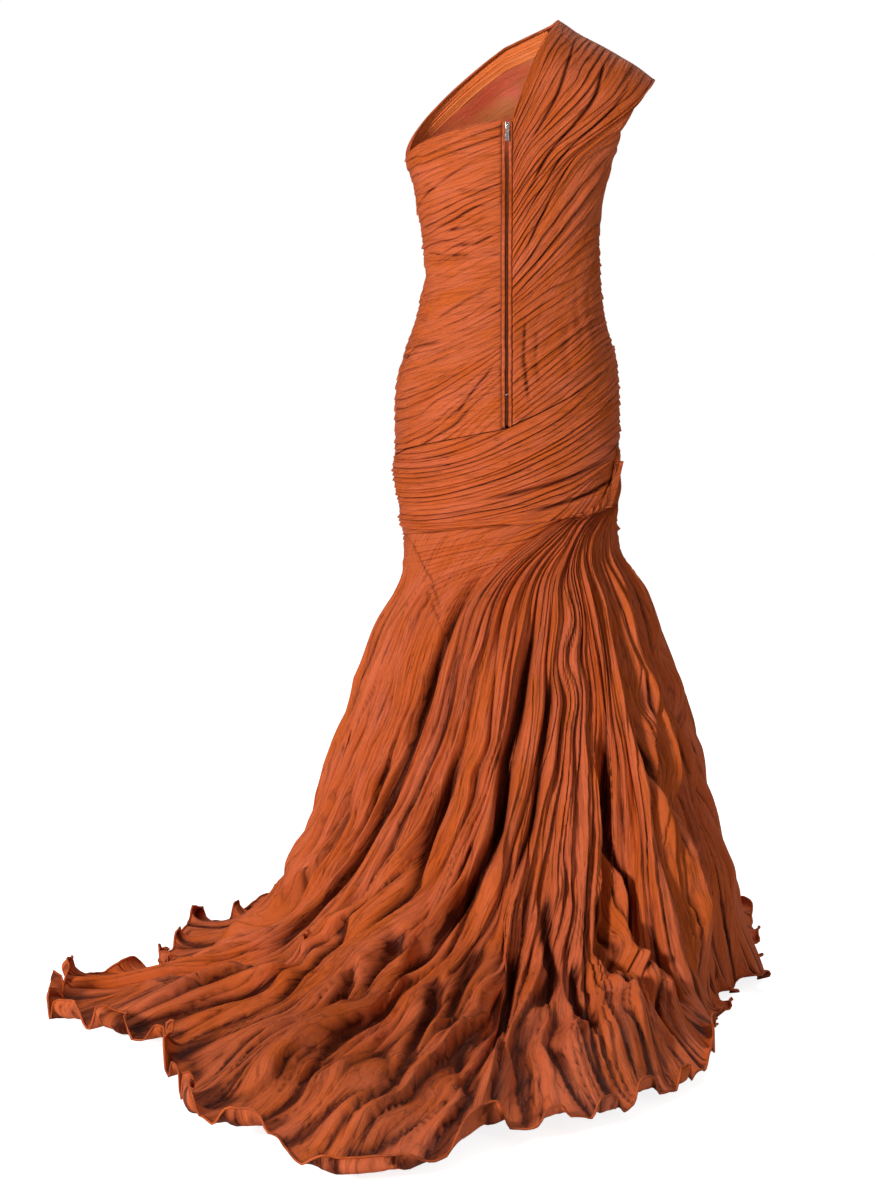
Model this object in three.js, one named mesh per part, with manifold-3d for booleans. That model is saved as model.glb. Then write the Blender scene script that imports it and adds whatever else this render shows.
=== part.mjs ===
import * as THREE from 'three'
import Module from 'manifold-3d'

// A pleated one-shoulder evening gown with a train, in millimetres. Heights are
// taken above the floor; +X is the wearer's left and +Y the wearer's back. The
// last step moves everything so that the origin is under the shoulder seam.

const wall = 1.8
const linerWall = 1.2
const seamGap = 0.16
const edgeGap = 0.3
const shoulderGap = 1.8
const zipHalf = 8
const frontSteps = 9
const shoulderMount = [-158, 0, 1464]
const skirtShift = -9
const capDrop = 100
const wrapProud = 4

// The worn shape: half widths to each side and depths to the back and front.
const body = [
  { height: 650, left: 156, right: 178, back: 112, front: 112 },
  { height: 700, left: 158, right: 178, back: 114, front: 112 },
  { height: 760, left: 164, right: 175, back: 118, front: 113 },
  { height: 800, left: 170, right: 174, back: 122, front: 115 },
  { height: 860, left: 174, right: 176, back: 127, front: 116 },
  { height: 910, left: 173, right: 176, back: 128, front: 114 },
  { height: 950, left: 169, right: 174, back: 125, front: 111 },
  { height: 1000, left: 157, right: 170, back: 116, front: 106 },
  { height: 1060, left: 136, right: 156, back: 103, front: 100 },
  { height: 1106, left: 125, right: 150, back: 96, front: 98 },
  { height: 1140, left: 127, right: 148, back: 94, front: 99 },
  { height: 1180, left: 131, right: 148, back: 96, front: 108 },
  { height: 1220, left: 138, right: 151, back: 100, front: 117 },
  { height: 1260, left: 146, right: 159, back: 103, front: 121 },
  { height: 1300, left: 158, right: 171, back: 105, front: 117 },
  { height: 1350, left: 162, right: 222, back: 105, front: 106 },
  { height: 1390, left: 162, right: 250, back: 101, front: 96 },
  { height: 1450, left: 162, right: 254, back: 92, front: 86 },
  { height: 1520, left: 162, right: 254, back: 76, front: 72 },
]

// The top line of the shoulder; past the neck it only shapes the collar.
const ridge = [
  { x: -248, height: 1402 },
  { x: -231, height: 1418 },
  { x: -198, height: 1446 },
  { x: -157, height: 1469 },
  { x: -110, height: 1492 },
  { x: -88, height: 1509 },
  { x: -48, height: 1530 },
  { x: -8, height: 1545 },
  { x: 172, height: 1552 },
]

// How far the hem lies from the middle, by turn from the front to the left, back
// and right, and how high its edge stands off the floor.
const hem = [
  { turn: -97, reach: 394, lift: 6 },
  { turn: -90, reach: 402, lift: 6 },
  { turn: -83, reach: 394, lift: 6 },
  { turn: -72, reach: 410, lift: 6 },
  { turn: -60, reach: 462, lift: 16 },
  { turn: -47, reach: 552, lift: 26 },
  { turn: -38, reach: 540, lift: 8 },
  { turn: -20, reach: 490, lift: 6 },
  { turn: 0, reach: 468, lift: 6 },
  { turn: 25, reach: 500, lift: 6 },
  { turn: 38, reach: 556, lift: 14 },
  { turn: 46, reach: 566, lift: 36 },
  { turn: 56, reach: 534, lift: 10 },
  { turn: 70, reach: 560, lift: 30 },
  { turn: 80, reach: 552, lift: 16 },
  { turn: 90, reach: 556, lift: 14 },
  { turn: 100, reach: 552, lift: 16 },
  { turn: 103, reach: 610, lift: 36 },
  { turn: 107, reach: 704, lift: 36 },
  { turn: 117, reach: 778, lift: 6 },
  { turn: 128, reach: 768, lift: 12 },
  { turn: 134, reach: 722, lift: 6 },
  { turn: 145, reach: 835, lift: 10 },
  { turn: 152, reach: 965, lift: 6 },
  { turn: 157, reach: 1035, lift: 10 },
  { turn: 161, reach: 1025, lift: 6 },
  { turn: 166, reach: 1135, lift: 8 },
  { turn: 171, reach: 1100, lift: 6 },
  { turn: 174, reach: 1060, lift: 10 },
  { turn: 177, reach: 950, lift: 8 },
  { turn: 184, reach: 915, lift: 6 },
  { turn: 193, reach: 785, lift: 10 },
  { turn: 200, reach: 712, lift: 6 },
  { turn: 210, reach: 575, lift: 8 },
  { turn: 222, reach: 438, lift: 6 },
  { turn: 240, reach: 356, lift: 6 },
  { turn: 254, reach: 374, lift: 6 },
  { turn: 263, reach: 394, lift: 6 },
  { turn: 270, reach: 402, lift: 6 },
  { turn: 277, reach: 394, lift: 6 },
]

// The drape's left edge: it starts at the right hip and sweeps to the left train.
const drapeEdge = [
  { fall: 0, turn: 214 },
  { fall: 0.05, turn: 190 },
  { fall: 0.11, turn: 163 },
  { fall: 0.18, turn: 153 },
  { fall: 0.25, turn: 148 },
  { fall: 0.34, turn: 141 },
  { fall: 0.5, turn: 130 },
  { fall: 0.7, turn: 119 },
  { fall: 1, turn: 109 },
]

// The levels of the bodice's pleats at the zip and the sides, and how far the
// middle of a pleat bows up. The right edge runs over the shoulder and armhole.
const backLeft = [
  { at: 0, zip: 1356, side: 1290, bow: 6 },
  { at: 0.2, zip: 1262, side: 1212, bow: 0 },
  { at: 0.45, zip: 1146, side: 1128, bow: -4 },
  { at: 0.75, zip: 1004, side: 936, bow: -6 },
  { at: 1, zip: 884.6, side: 833, bow: 0 },
]
const rightEdge = [
  { at: 0, angle: 19, height: 1509 },
  { at: 0.12, angle: 28, height: 1486 },
  { at: 0.25, angle: 45, height: 1453 },
  { at: 0.36, angle: 65, height: 1420 },
  { at: 0.4, angle: 60, height: 1402 },
  { at: 0.45, angle: 55, height: 1372 },
  { at: 0.5, angle: 58, height: 1336 },
  { at: 0.54, angle: 72, height: 1312 },
  { at: 0.57, angle: 90, height: 1300 },
  { at: 0.78, angle: 90, height: 1150 },
  { at: 1, angle: 90, height: 1010 },
]
const zipEdge = [
  { at: 0, height: 1358 },
  { at: 0.36, height: 1190 },
  { at: 0.57, height: 1090 },
  { at: 1, height: 891 },
]
const leftEdge = [
  { at: 0, height: 1296 },
  { at: 0.36, height: 1150 },
  { at: 0.57, height: 1062 },
  { at: 1, height: 833 },
]

const clamp = (value, low, high) => Math.min(high, Math.max(low, value))
const mix = (a, b, t) => a + (b - a) * t
const radians = (angle) => (angle * Math.PI) / 180
const degrees = (angle) => (angle * 180) / Math.PI
const ease = (t) => t * t * (3 - 2 * t)

function straight(rows, by, of, at) {
  let i = 1
  while (i < rows.length - 1 && rows[i][by] < at) i++
  const p = rows[i - 1]
  const q = rows[i]
  return mix(p[of], q[of], clamp((at - p[by]) / (q[by] - p[by]), 0, 1))
}

// A smooth curve through the rows of a table.
function fair(rows, by, of, at) {
  let i = 1
  while (i < rows.length - 1 && rows[i][by] < at) i++
  const p = rows[i - 1]
  const q = rows[i]
  const o = rows[i - 2] ?? p
  const r = rows[i + 1] ?? q
  const span = q[by] - p[by]
  const t = clamp((at - p[by]) / span, 0, 1)
  const start = ((q[of] - o[of]) / (q[by] - o[by])) * span
  const end = ((r[of] - p[of]) / (r[by] - p[by])) * span
  const t2 = t * t
  const t3 = t2 * t
  return (
    p[of] * (2 * t3 - 3 * t2 + 1) + start * (t3 - 2 * t2 + t) +
    q[of] * (3 * t2 - 2 * t3) + end * (t3 - t2)
  )
}

function shoulderCap(x, height) {
  const top = fair(ridge, 'x', 'height', x)
  const rise = clamp((height - top + capDrop) / capDrop, 0, 1)
  return Math.sqrt(1 - rise * rise)
}

// A point of the worn shape. The side is 1 for the back and -1 for the front.
function bodyPoint(side, angle, height, out = 0) {
  const sweep = Math.sin(radians(angle))
  const x = (fair(body, 'height', sweep < 0 ? 'right' : 'left', height) + out) * sweep
  const depth = fair(body, 'height', side > 0 ? 'back' : 'front', height) + out
  const y = depth * Math.cos(radians(angle)) * shoulderCap(x, height)
  const gap = mix(seamGap, shoulderGap, ease(clamp((height - 1290) / 60, 0, 1)))
  return [x, side * (y + gap), height]
}

// The angle at which the bodice meets the zip.
const zipAngle = (side, height) => degrees(Math.asin(zipHalf / fair(body, 'height', side, height)))

// The level of the hip wrap's edges, straight round each quarter of the hips.
function wrapTop(side, angle) {
  if (side < 0) return mix(1010, 833, (angle + 90) / 180)
  return angle < 0 ? mix(886, 1010, -angle / 90) : mix(886, 833, angle / 90)
}
const wrapFoot = (angle) => mix(762, 708, (angle + 90) / 180)

function skirtPoint(turn, fall) {
  const angle = degrees(Math.asin(Math.sin(radians(turn))))
  const side = Math.cos(radians(turn)) > 0 ? -1 : 1
  const start = bodyPoint(side, angle, wrapFoot(angle) - seamGap)
  start[1] -= side * seamGap
  const reach = fair(hem, 'turn', 'reach', turn)
  const train = ease(clamp((reach - 400) / 180, 0, 1))
  const waistReach = Math.hypot(start[0], start[1])
  const bend = mix(mix(waistReach, reach, 0.7), 342, train)
  const bendHeight = mix(0.3 * start[2], 10, train)
  const pull = mix(1.3, 2.5, train)
  const t = fall ** 1.6
  const weights = [(1 - t) ** 2, 2 * pull * t * (1 - t), t * t]
  const whole = weights[0] + weights[1] + weights[2]
  const dx = Math.sin(radians(turn))
  const dy = -Math.cos(radians(turn))
  const points = [
    start,
    [bend * dx + skirtShift, bend * dy, bendHeight],
    [reach * dx + skirtShift, reach * dy, fair(hem, 'turn', 'lift', turn)],
  ]
  const [x, y, z] = [0, 1, 2].map(
    (k) => weights.reduce((sum, w, i) => sum + w * points[i][k], 0) / whole,
  )
  // The skirt hugs the knees before it opens.
  const hug = 17 * Math.exp(-(((start[2] - z - 78) / 52) ** 2))
  return [x - hug * dx, y - hug * dy, z]
}

// The panels, each laid out by how far across its pleats and how far along them.
function backLeftPoint(across, along) {
  const zip = fair(backLeft, 'at', 'zip', across)
  const height = mix(zip, fair(backLeft, 'at', 'side', across), along)
  const bow = fair(backLeft, 'at', 'bow', across) * 4 * along * (1 - along)
  return bodyPoint(1, mix(zipAngle('left', zip), 90, along), height + bow + edgeGap)
}

function fromShoulder(across, along) {
  // Short steps first, where the cloth turns over the shoulder seam.
  return mix(along, along * along, 0.7 * Math.max(0, 1 - across / 0.36))
}

function backRightPoint(across, along) {
  const t = fromShoulder(across, along)
  const zip = straight(zipEdge, 'at', 'height', across)
  const angle = mix(-straight(rightEdge, 'at', 'angle', across), -zipAngle('right', zip), t)
  const height = mix(straight(rightEdge, 'at', 'height', across), zip, t) + edgeGap
  return bodyPoint(1, angle, height + 24 * Math.max(0, 1 - 4 * across) * 4 * t * (1 - t))
}

function frontPoint(across, along) {
  const t = fromShoulder(across, along)
  const angle = mix(-straight(rightEdge, 'at', 'angle', across), 90, t)
  const height = mix(
    straight(rightEdge, 'at', 'height', across),
    straight(leftEdge, 'at', 'height', across),
    t,
  )
  const bow = -20 * Math.max(0, 1 - 2.5 * across) * 4 * t * (1 - t) * t
  return bodyPoint(-1, angle, height + bow + edgeGap)
}

const wrapPoint = (side) => (across, along) => {
  const angle = mix(-90, 90, along)
  const height = mix(wrapTop(side, angle) - edgeGap, wrapFoot(angle) + seamGap, across)
  return bodyPoint(side, angle, height, wrapProud * Math.min(1, 8 * across, 8 * (1 - across)))
}

function frontSkirtPoint(across, along) {
  const [x, y, z] = skirtPoint(mix(-90, 90, across), along)
  return [x, y - seamGap, z]
}

// The drape's edge, moved off its line by the seam gap to the given side.
function drapeEdgeTurn(along, side) {
  const edge = fair(drapeEdge, 'fall', 'turn', along)
  const [x, y] = skirtPoint(edge, along)
  return edge + side * degrees(seamGap / Math.hypot(x, y))
}

function underSkirtPoint(across, along) {
  const [x, y, z] = skirtPoint(mix(90, drapeEdgeTurn(along, -1), across), along)
  return [x, y + seamGap, z]
}

function drapePoint(across, along) {
  const [x, y, z] = skirtPoint(mix(drapeEdgeTurn(along, 1), 270, across ** 0.85), along)
  return [x, y + seamGap, z]
}

// Large folds that grow towards the hem and settle at the panel's edges.
const folds = (rows, size) => (across, along) => {
  const grow = size * ease(clamp(along / 0.75, 0, 1))
  const settle = Math.min(1, 14 * across, 14 * (1 - across))
  const wave = rows.reduce(
    (sum, row) => sum + row.share * Math.cos(2 * Math.PI * (row.count * across + row.phase)),
    0,
  )
  return grow * settle * (0.5 + 0.5 * wave)
}
const noFolds = () => 0

function clothMesh(name, spec) {
  const { pleats, steps, place, fold = noFolds, height, thick = wall, tone, seams = '' } = spec
  const columns = 2 * pleats
  const nudge = 0.002
  const positions = []
  const outward = { sign: 0 }
  const normalAt = (s, v) => {
    const s0 = Math.max(0, s - nudge)
    const s1 = Math.min(1, s + nudge)
    const v0 = Math.max(0, v - nudge)
    const v1 = Math.min(1, v + nudge)
    const across = new THREE.Vector3(...place(s1, v)).sub(new THREE.Vector3(...place(s0, v)))
    const along = new THREE.Vector3(...place(s, v1)).sub(new THREE.Vector3(...place(s, v0)))
    return across.cross(along).normalize()
  }
  const middle = new THREE.Vector3(...place(0.5, 0.5))
  outward.sign = Math.sign(
    normalAt(0.5, 0.5).dot(new THREE.Vector3(middle.x, middle.y, 0)),
  )
  const grid = []
  for (let i = 0; i <= columns; i++) {
    const crest = i % 2 === 1
    const s = (i + (crest ? 0.3 : 0)) / columns
    const column = []
    for (let j = 0; j <= steps; j++) {
      const v = j / steps
      const base = new THREE.Vector3(...place(s, v))
      const normal = normalAt(s, v).multiplyScalar(outward.sign)
      const onSeam = (i === 0 && seams.includes('first')) || (i === columns && seams.includes('last'))
      if (onSeam) normal.setY(0).normalize()
      const uneven = 0.75 + 0.25 * Math.sin(2.4 * i + 3 * v)
      const rise = fold(s, v) + (crest ? height(v) * uneven : 0)
      column.push([
        base.clone().addScaledVector(normal, rise),
        base.clone().addScaledVector(normal, rise - thick),
      ])
    }
    grid.push(column)
  }
  const put = (a, b, c) => {
    const corners = outward.sign > 0 ? [a, b, c] : [a, c, b]
    for (const p of corners) positions.push(p.x, p.y, p.z)
  }
  const quad = (a, b, c, d) => {
    put(a, b, c)
    put(a, c, d)
  }
  for (let i = 0; i < columns; i++) {
    for (let j = 0; j < steps; j++) {
      const [a, b, c, d] = [grid[i][j], grid[i + 1][j], grid[i + 1][j + 1], grid[i][j + 1]]
      quad(a[0], b[0], c[0], d[0])
      quad(a[1], d[1], c[1], b[1])
    }
    const [a, b] = [grid[i][0], grid[i + 1][0]]
    const [c, d] = [grid[i][steps], grid[i + 1][steps]]
    quad(a[1], b[1], b[0], a[0])
    quad(c[0], d[0], d[1], c[1])
  }
  for (let j = 0; j < steps; j++) {
    const [a, b] = [grid[0][j], grid[0][j + 1]]
    const [c, d] = [grid[columns][j], grid[columns][j + 1]]
    quad(a[0], b[0], b[1], a[1])
    quad(c[1], d[1], d[0], c[0])
  }
  return meshFrom(name, positions, tone)
}

function meshFrom(name, positions, tone) {
  const geometry = new THREE.BufferGeometry()
  geometry.setAttribute('position', new THREE.Float32BufferAttribute(positions, 3))
  geometry.translate(-shoulderMount[0], -shoulderMount[1], -shoulderMount[2])
  geometry.computeVertexNormals()
  const mesh = new THREE.Mesh(geometry, new THREE.MeshStandardMaterial({ color: tone }))
  mesh.name = name
  return mesh
}

const rust = 0xb4582e
const salmon = 0xd4704a
const steel = 0x9a938c

const group = new THREE.Group()
const skirtFolds = folds(
  [
    { count: 5, share: 0.4, phase: 0.1 },
    { count: 9, share: 0.35, phase: 0.62 },
    { count: 15, share: 0.25, phase: 0.3 },
  ],
  34,
)
const drapeFolds = folds(
  [
    { count: 6.5, share: 0.45, phase: 0.4 },
    { count: 11, share: 0.35, phase: 0.15 },
    { count: 18, share: 0.2, phase: 0.7 },
  ],
  40,
)
const skirtPleat = (deep) => (v) => Math.min(2.2, 0.6 + 24 * v) + deep * v
const cloths = {
  back_bodice_left: { pleats: 22, steps: 5, place: backLeftPoint, height: () => 2.4 },
  back_bodice_right: { pleats: 26, steps: 7, place: backRightPoint, height: () => 2.6 },
  front_bodice: { pleats: 24, steps: frontSteps, place: frontPoint, height: () => 2.6 },
  hip_wrap_back: { pleats: 14, steps: 8, place: wrapPoint(1), height: () => 3.2 },
  hip_wrap_front: { pleats: 10, steps: 8, place: wrapPoint(-1), height: () => 3.2 },
  skirt_front: {
    pleats: 26, steps: 8, place: frontSkirtPoint, fold: skirtFolds, height: skirtPleat(6),
    seams: 'first last',
  },
  skirt_drape: {
    pleats: 44, steps: 12, place: drapePoint, fold: drapeFolds, height: skirtPleat(7),
    seams: 'last',
  },
  skirt_back_left: {
    pleats: 14, steps: 12, place: underSkirtPoint, fold: skirtFolds, height: skirtPleat(6),
    seams: 'first',
  },
}
for (const [name, spec] of Object.entries(cloths)) {
  group.add(clothMesh(name, { ...spec, tone: rust }))
}

// The facing and the lining lie inside the front, on its own rows of points.
const inside = (from, to, skip) => (across, along) =>
  frontPoint(mix(from, to, across), mix(skip / frontSteps, 1 - 0.004, along))
const liners = {
  neckline_facing: {
    pleats: 2, steps: frontSteps - 1, place: inside(0.012, 0.1, 1), fold: () => -3.4, tone: rust,
  },
  front_lining: {
    pleats: 7, steps: frontSteps - 3, place: inside(0.1008, 0.36, 3), fold: () => -3.4, tone: salmon,
  },
}
for (const [name, spec] of Object.entries(liners)) {
  group.add(clothMesh(name, { ...spec, height: () => 0.4, thick: linerWall }))
}

// The back zip: a tape and a rolled lip on each side, the closed coil between.
const zipTop = 1352
const zipSteps = 24
const zipFoot = { left: 886.4, right: 891, middle: 887.4 }
const zipY = (height) => bodyPoint(1, 0, height)[1]
function zipStrip(name, inner, outer, low, high, foot, top) {
  const positions = []
  const ring = (height) => {
    const y = zipY(height)
    return [[inner, low], [outer, low], [outer, high], [inner, high]].map(
      ([x, dy]) => [x, y + dy, height],
    )
  }
  const rings = []
  for (let j = 0; j <= zipSteps; j++) rings.push(ring(mix(foot, top, j / zipSteps)))
  const flip = inner > outer
  const put = (a, b, c) => positions.push(...a, ...(flip ? c : b), ...(flip ? b : c))
  for (let j = 0; j < zipSteps; j++) {
    for (let k = 0; k < 4; k++) {
      const [a, b] = [rings[j][k], rings[j][(k + 1) % 4]]
      const [c, d] = [rings[j + 1][(k + 1) % 4], rings[j + 1][k]]
      put(a, b, c)
      put(a, c, d)
    }
  }
  const [start, end] = [rings[0], rings[zipSteps]]
  put(start[0], start[2], start[1])
  put(start[0], start[3], start[2])
  put(end[0], end[1], end[2])
  put(end[0], end[2], end[3])
  return meshFrom(name, positions, rust)
}
for (const [side, sign] of [['left', 1], ['right', -1]]) {
  group.add(
    zipStrip(`zip_tape_${side}`, 2.2 * sign, 9.4 * sign, -3.6, -2.4, zipFoot[side], zipTop),
    zipStrip(`zip_lip_${side}`, 2.4 * sign, 7.7 * sign, -2.1, 1.2, zipFoot[side], zipTop),
  )
}
group.add(zipStrip('zip_coil', -1.8, 1.8, -3.4, -1.2, zipFoot.middle, 1340.2))

// The slider's bridge holds the pull's cross bar; the pull swings on the bar.
const wasm = await Module()
wasm.setup()
const { Manifold } = wasm
const sliderFace = zipY(1346) + 4.2
const barHeight = 1344.4
const barOut = 0.95
const block = (size, middle) => Manifold.cube(size, true).translate(middle)
const sliderPlate = block([6.6, 2.2, 11], [0, sliderFace - 1.1, 1346])
const sliderStem = block([3, 5.6, 9], [0, sliderFace - 4.4, 1346])
const bridge = block([2, 3.2, 8.4], [0, sliderFace + 1.3, 1346.4])
const bridgeHole = block([3, 1.9, 6], [0, sliderFace + barOut, 1346.4])
const slider = sliderPlate.add(sliderStem).add(bridge).subtract(bridgeHole)
const bar = Manifold.cylinder(4.8, 0.55, 0.55, 12, true).rotate([0, 90, 0])
const arm = block([1, 1, 7], [1.9, 0, -3])
const otherArm = block([1, 1, 7], [-1.9, 0, -3])
const tab = block([5, 1, 16], [0, 0, -13.6])
const pull = bar.add(arm).add(otherArm).add(tab).translate([0, sliderFace + barOut, barHeight])

function solidMesh(name, solid, tone) {
  const { vertProperties, triVerts, numProp } = solid.getMesh()
  const positions = []
  for (const v of triVerts) {
    for (let k = 0; k < 3; k++) positions.push(vertProperties[v * numProp + k])
  }
  return meshFrom(name, positions, tone)
}
group.add(
  solidMesh('zip_slider', slider, steel),
  solidMesh('zip_pull', pull, steel),
)

export default group
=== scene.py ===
import math

import bpy
import numpy as np
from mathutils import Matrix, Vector


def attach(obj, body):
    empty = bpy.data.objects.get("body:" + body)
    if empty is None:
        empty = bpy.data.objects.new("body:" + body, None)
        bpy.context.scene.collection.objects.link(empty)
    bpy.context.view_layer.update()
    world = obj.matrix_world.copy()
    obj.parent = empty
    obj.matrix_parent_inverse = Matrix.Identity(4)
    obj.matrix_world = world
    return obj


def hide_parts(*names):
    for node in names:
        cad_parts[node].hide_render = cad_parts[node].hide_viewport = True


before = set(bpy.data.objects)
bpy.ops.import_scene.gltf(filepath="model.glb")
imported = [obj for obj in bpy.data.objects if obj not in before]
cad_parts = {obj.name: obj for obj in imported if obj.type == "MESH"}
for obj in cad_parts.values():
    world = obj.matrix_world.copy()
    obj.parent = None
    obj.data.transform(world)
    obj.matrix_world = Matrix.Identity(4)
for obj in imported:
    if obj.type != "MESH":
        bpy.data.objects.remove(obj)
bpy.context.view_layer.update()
print("frame loaded:", len(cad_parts), "nodes")

# Lengths in the tables are millimetres above the floor and from the body's axis,
# as in the part; the last step moves them to the part's own origin in metres.
mount = np.array([-158.0, 0.0, 1464.0])
floorLevel = -1.464
floorGap = 0.0012

view = {
    "place": (0.264, 5.0, -0.214),
    "tilt": 82.647,
    "turn": 180.0,
    "lens": 95.55,
}

# half widths and depths of the worn form at each height, and the line of the shoulder's top
body = {
    "height": [650, 700, 760, 800, 860, 910, 950, 1000, 1060, 1106, 1140, 1180, 1220,
               1260, 1300, 1350, 1390, 1450, 1520],
    "left": [156, 158, 164, 170, 174, 173, 169, 157, 136, 125, 127, 131, 138, 146, 158,
             162, 162, 162, 162],
    "right": [178, 178, 175, 174, 176, 176, 174, 170, 156, 150, 148, 148, 151, 159, 171,
              222, 250, 254, 254],
    "back": [112, 114, 118, 122, 127, 128, 125, 116, 103, 96, 94, 96, 100, 103, 105, 105,
             101, 92, 76],
    "front": [112, 112, 113, 115, 116, 114, 111, 106, 100, 98, 99, 108, 117, 121, 117,
              106, 96, 86, 72],
}
ridge = [(-248, 1402), (-231, 1418), (-198, 1446), (-157, 1469), (-110, 1492), (-88, 1509),
         (-48, 1530), (-8, 1545), (172, 1552)]

# turn from the front to the left, back and right: how far out and how high the hem lies
hem = [(-97, 394, 6), (-90, 402, 6), (-83, 394, 6), (-72, 410, 6), (-60, 462, 16),
       (-47, 552, 26), (-38, 540, 8), (-20, 490, 6), (0, 468, 6), (25, 500, 6),
       (38, 556, 14), (46, 566, 36), (56, 534, 10), (70, 560, 30), (80, 552, 16),
       (90, 556, 14), (100, 552, 16), (103, 610, 36), (107, 704, 36), (117, 778, 6),
       (128, 768, 12), (134, 722, 6), (145, 835, 10), (152, 965, 6), (157, 1035, 10),
       (161, 1025, 6), (166, 1135, 8), (171, 1100, 6), (174, 1060, 10), (177, 950, 8),
       (184, 915, 6), (193, 785, 10), (200, 712, 6), (210, 575, 8), (222, 438, 6),
       (240, 356, 6), (254, 374, 6), (263, 394, 6), (270, 402, 6), (277, 394, 6)]
hemReach = [(turn, reach) for turn, reach, lift in hem]
hemLift = [(turn, lift) for turn, reach, lift in hem]

# half the gap between two pieces that meet, and the gap of front and back above the armhole
seams = {"half": 0.16, "lift": 0.3, "shoulder": 1.8, "shoulderFrom": 1290, "shoulderOver": 60, "round": 100,
         "zip": 8}
wrap = {"right": 1010, "left": 833, "back": 886, "footRight": 762, "footLeft": 708, "out": 4, "slope": 8}

# the skirt falls in a curve that bends near the floor; where the hem reaches past "trainFrom" it lies down
skirt = {"trainFrom": 400, "trainOver": 180, "bendShare": 0.7, "bendRise": 0.3, "trainBend": 342,
         "trainRise": 10, "pull": 1.3, "trainPull": 2.5, "crowd": 1.6, "aside": -9,
         "hug": 17, "hugDown": 78, "hugOver": 52}


def mix(a, b, t):
    return a + (b - a) * t


def ease(t):
    t = np.clip(t, 0, 1)
    return t * t * (3 - 2 * t)


def straight(rows, at):
    return np.interp(at, [row[0] for row in rows], [row[1] for row in rows])


def fair(rows, at):
    # the smooth curve through the rows of a table
    x = np.array([row[0] for row in rows], float)
    y = np.array([row[1] for row in rows], float)
    i = np.clip(np.searchsorted(x, at), 1, len(x) - 1)
    o, p, r = np.maximum(i - 2, 0), i - 1, np.minimum(i + 1, len(x) - 1)
    span = x[i] - x[p]
    t = np.clip((at - x[p]) / span, 0, 1)
    start = (y[i] - y[o]) / (x[i] - x[o]) * span
    end = (y[r] - y[p]) / (x[r] - x[p]) * span
    return (y[p] * (2 * t**3 - 3 * t**2 + 1) + start * (t**3 - 2 * t**2 + t)
            + y[i] * (3 * t**2 - 2 * t**3) + end * (t**3 - t**2))


def bodySize(side, height):
    return fair(list(zip(body["height"], body[side])), height)


def bodyPoint(side, angle, height, out=0.0):
    sweep = np.sin(np.radians(angle))
    half = np.where(sweep < 0, bodySize("right", height), bodySize("left", height))
    x = (half + out) * sweep
    depth = bodySize("back" if side > 0 else "front", height) + out
    rise = np.clip((height - fair(ridge, x) + seams["round"]) / seams["round"], 0, 1)
    y = depth * np.cos(np.radians(angle)) * np.sqrt(1 - rise**2)
    above = ease((height - seams["shoulderFrom"]) / seams["shoulderOver"])
    gap = mix(seams["half"], seams["shoulder"], above)
    return np.stack([x, side * (y + gap), height + 0 * x], axis=-1)


def zipAngle(side, height):
    return np.degrees(np.arcsin(seams["zip"] / bodySize(side, height)))


def wrapTop(side, angle):
    if side < 0:
        return mix(wrap["right"], wrap["left"], (angle + 90) / 180)
    return np.where(angle < 0, mix(wrap["back"], wrap["right"], -angle / 90),
                    mix(wrap["back"], wrap["left"], angle / 90))


def wrapFoot(angle):
    return mix(wrap["footRight"], wrap["footLeft"], (angle + 90) / 180)


def skirtPoint(turn, fall):
    dx, dy = np.sin(np.radians(turn)), -np.cos(np.radians(turn))
    angle = np.degrees(np.arcsin(dx))
    height = wrapFoot(angle) - seams["half"]
    start = np.where((dy < 0)[..., None], bodyPoint(-1, angle, height), bodyPoint(1, angle, height))
    start[..., 1] -= np.where(dy < 0, -1, 1) * seams["half"]
    reach = fair(hemReach, turn)
    train = ease((reach - skirt["trainFrom"]) / skirt["trainOver"])
    waistReach = np.hypot(start[..., 0], start[..., 1])
    bend = mix(mix(waistReach, reach, skirt["bendShare"]), skirt["trainBend"], train)
    bendHeight = mix(skirt["bendRise"] * start[..., 2], skirt["trainRise"], train)
    pull = mix(skirt["pull"], skirt["trainPull"], train)
    t = fall ** skirt["crowd"]
    first, second, third = (1 - t) ** 2, 2 * pull * t * (1 - t), t * t
    whole = first + second + third
    aside = skirt["aside"]
    x = (first * start[..., 0] + second * (bend * dx + aside) + third * (reach * dx + aside)) / whole
    y = (first * start[..., 1] + second * bend * dy + third * reach * dy) / whole
    z = (first * start[..., 2] + second * bendHeight + third * fair(hemLift, turn)) / whole
    hug = skirt["hug"] * np.exp(-(((start[..., 2] - z - skirt["hugDown"]) / skirt["hugOver"]) ** 2))
    return np.stack([x - hug * dx, y - hug * dy, z], axis=-1)


# heights of the left back's two sides, and how far its rows bow between them
leftPanel = {
    "zip": [(0, 1356), (0.2, 1262), (0.45, 1146), (0.75, 1004), (1, 884.6)],
    "side": [(0, 1290), (0.2, 1212), (0.45, 1128), (0.75, 936), (1, 833)],
    "bow": [(0, 6), (0.2, 0), (0.45, -4), (0.75, -6), (1, 0)],
}

# where the shoulder, armhole and right side lie, and the far sides of the two panels that meet there
rightPanel = {
    "angle": [(0, 19), (0.12, 28), (0.25, 45), (0.36, 65), (0.4, 60), (0.45, 55), (0.5, 58), (0.54, 72),
              (0.57, 90), (0.78, 90), (1, 90)],
    "height": [(0, 1509), (0.12, 1486), (0.25, 1453), (0.36, 1420), (0.4, 1402), (0.45, 1372), (0.5, 1336),
               (0.54, 1312), (0.57, 1300), (0.78, 1150), (1, 1010)],
    "zip": [(0, 1358), (0.36, 1190), (0.57, 1090), (1, 891)],
    "frontSide": [(0, 1296), (0.36, 1150), (0.57, 1062), (1, 833)],
    "shoulder": 0.36,
}


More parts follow.
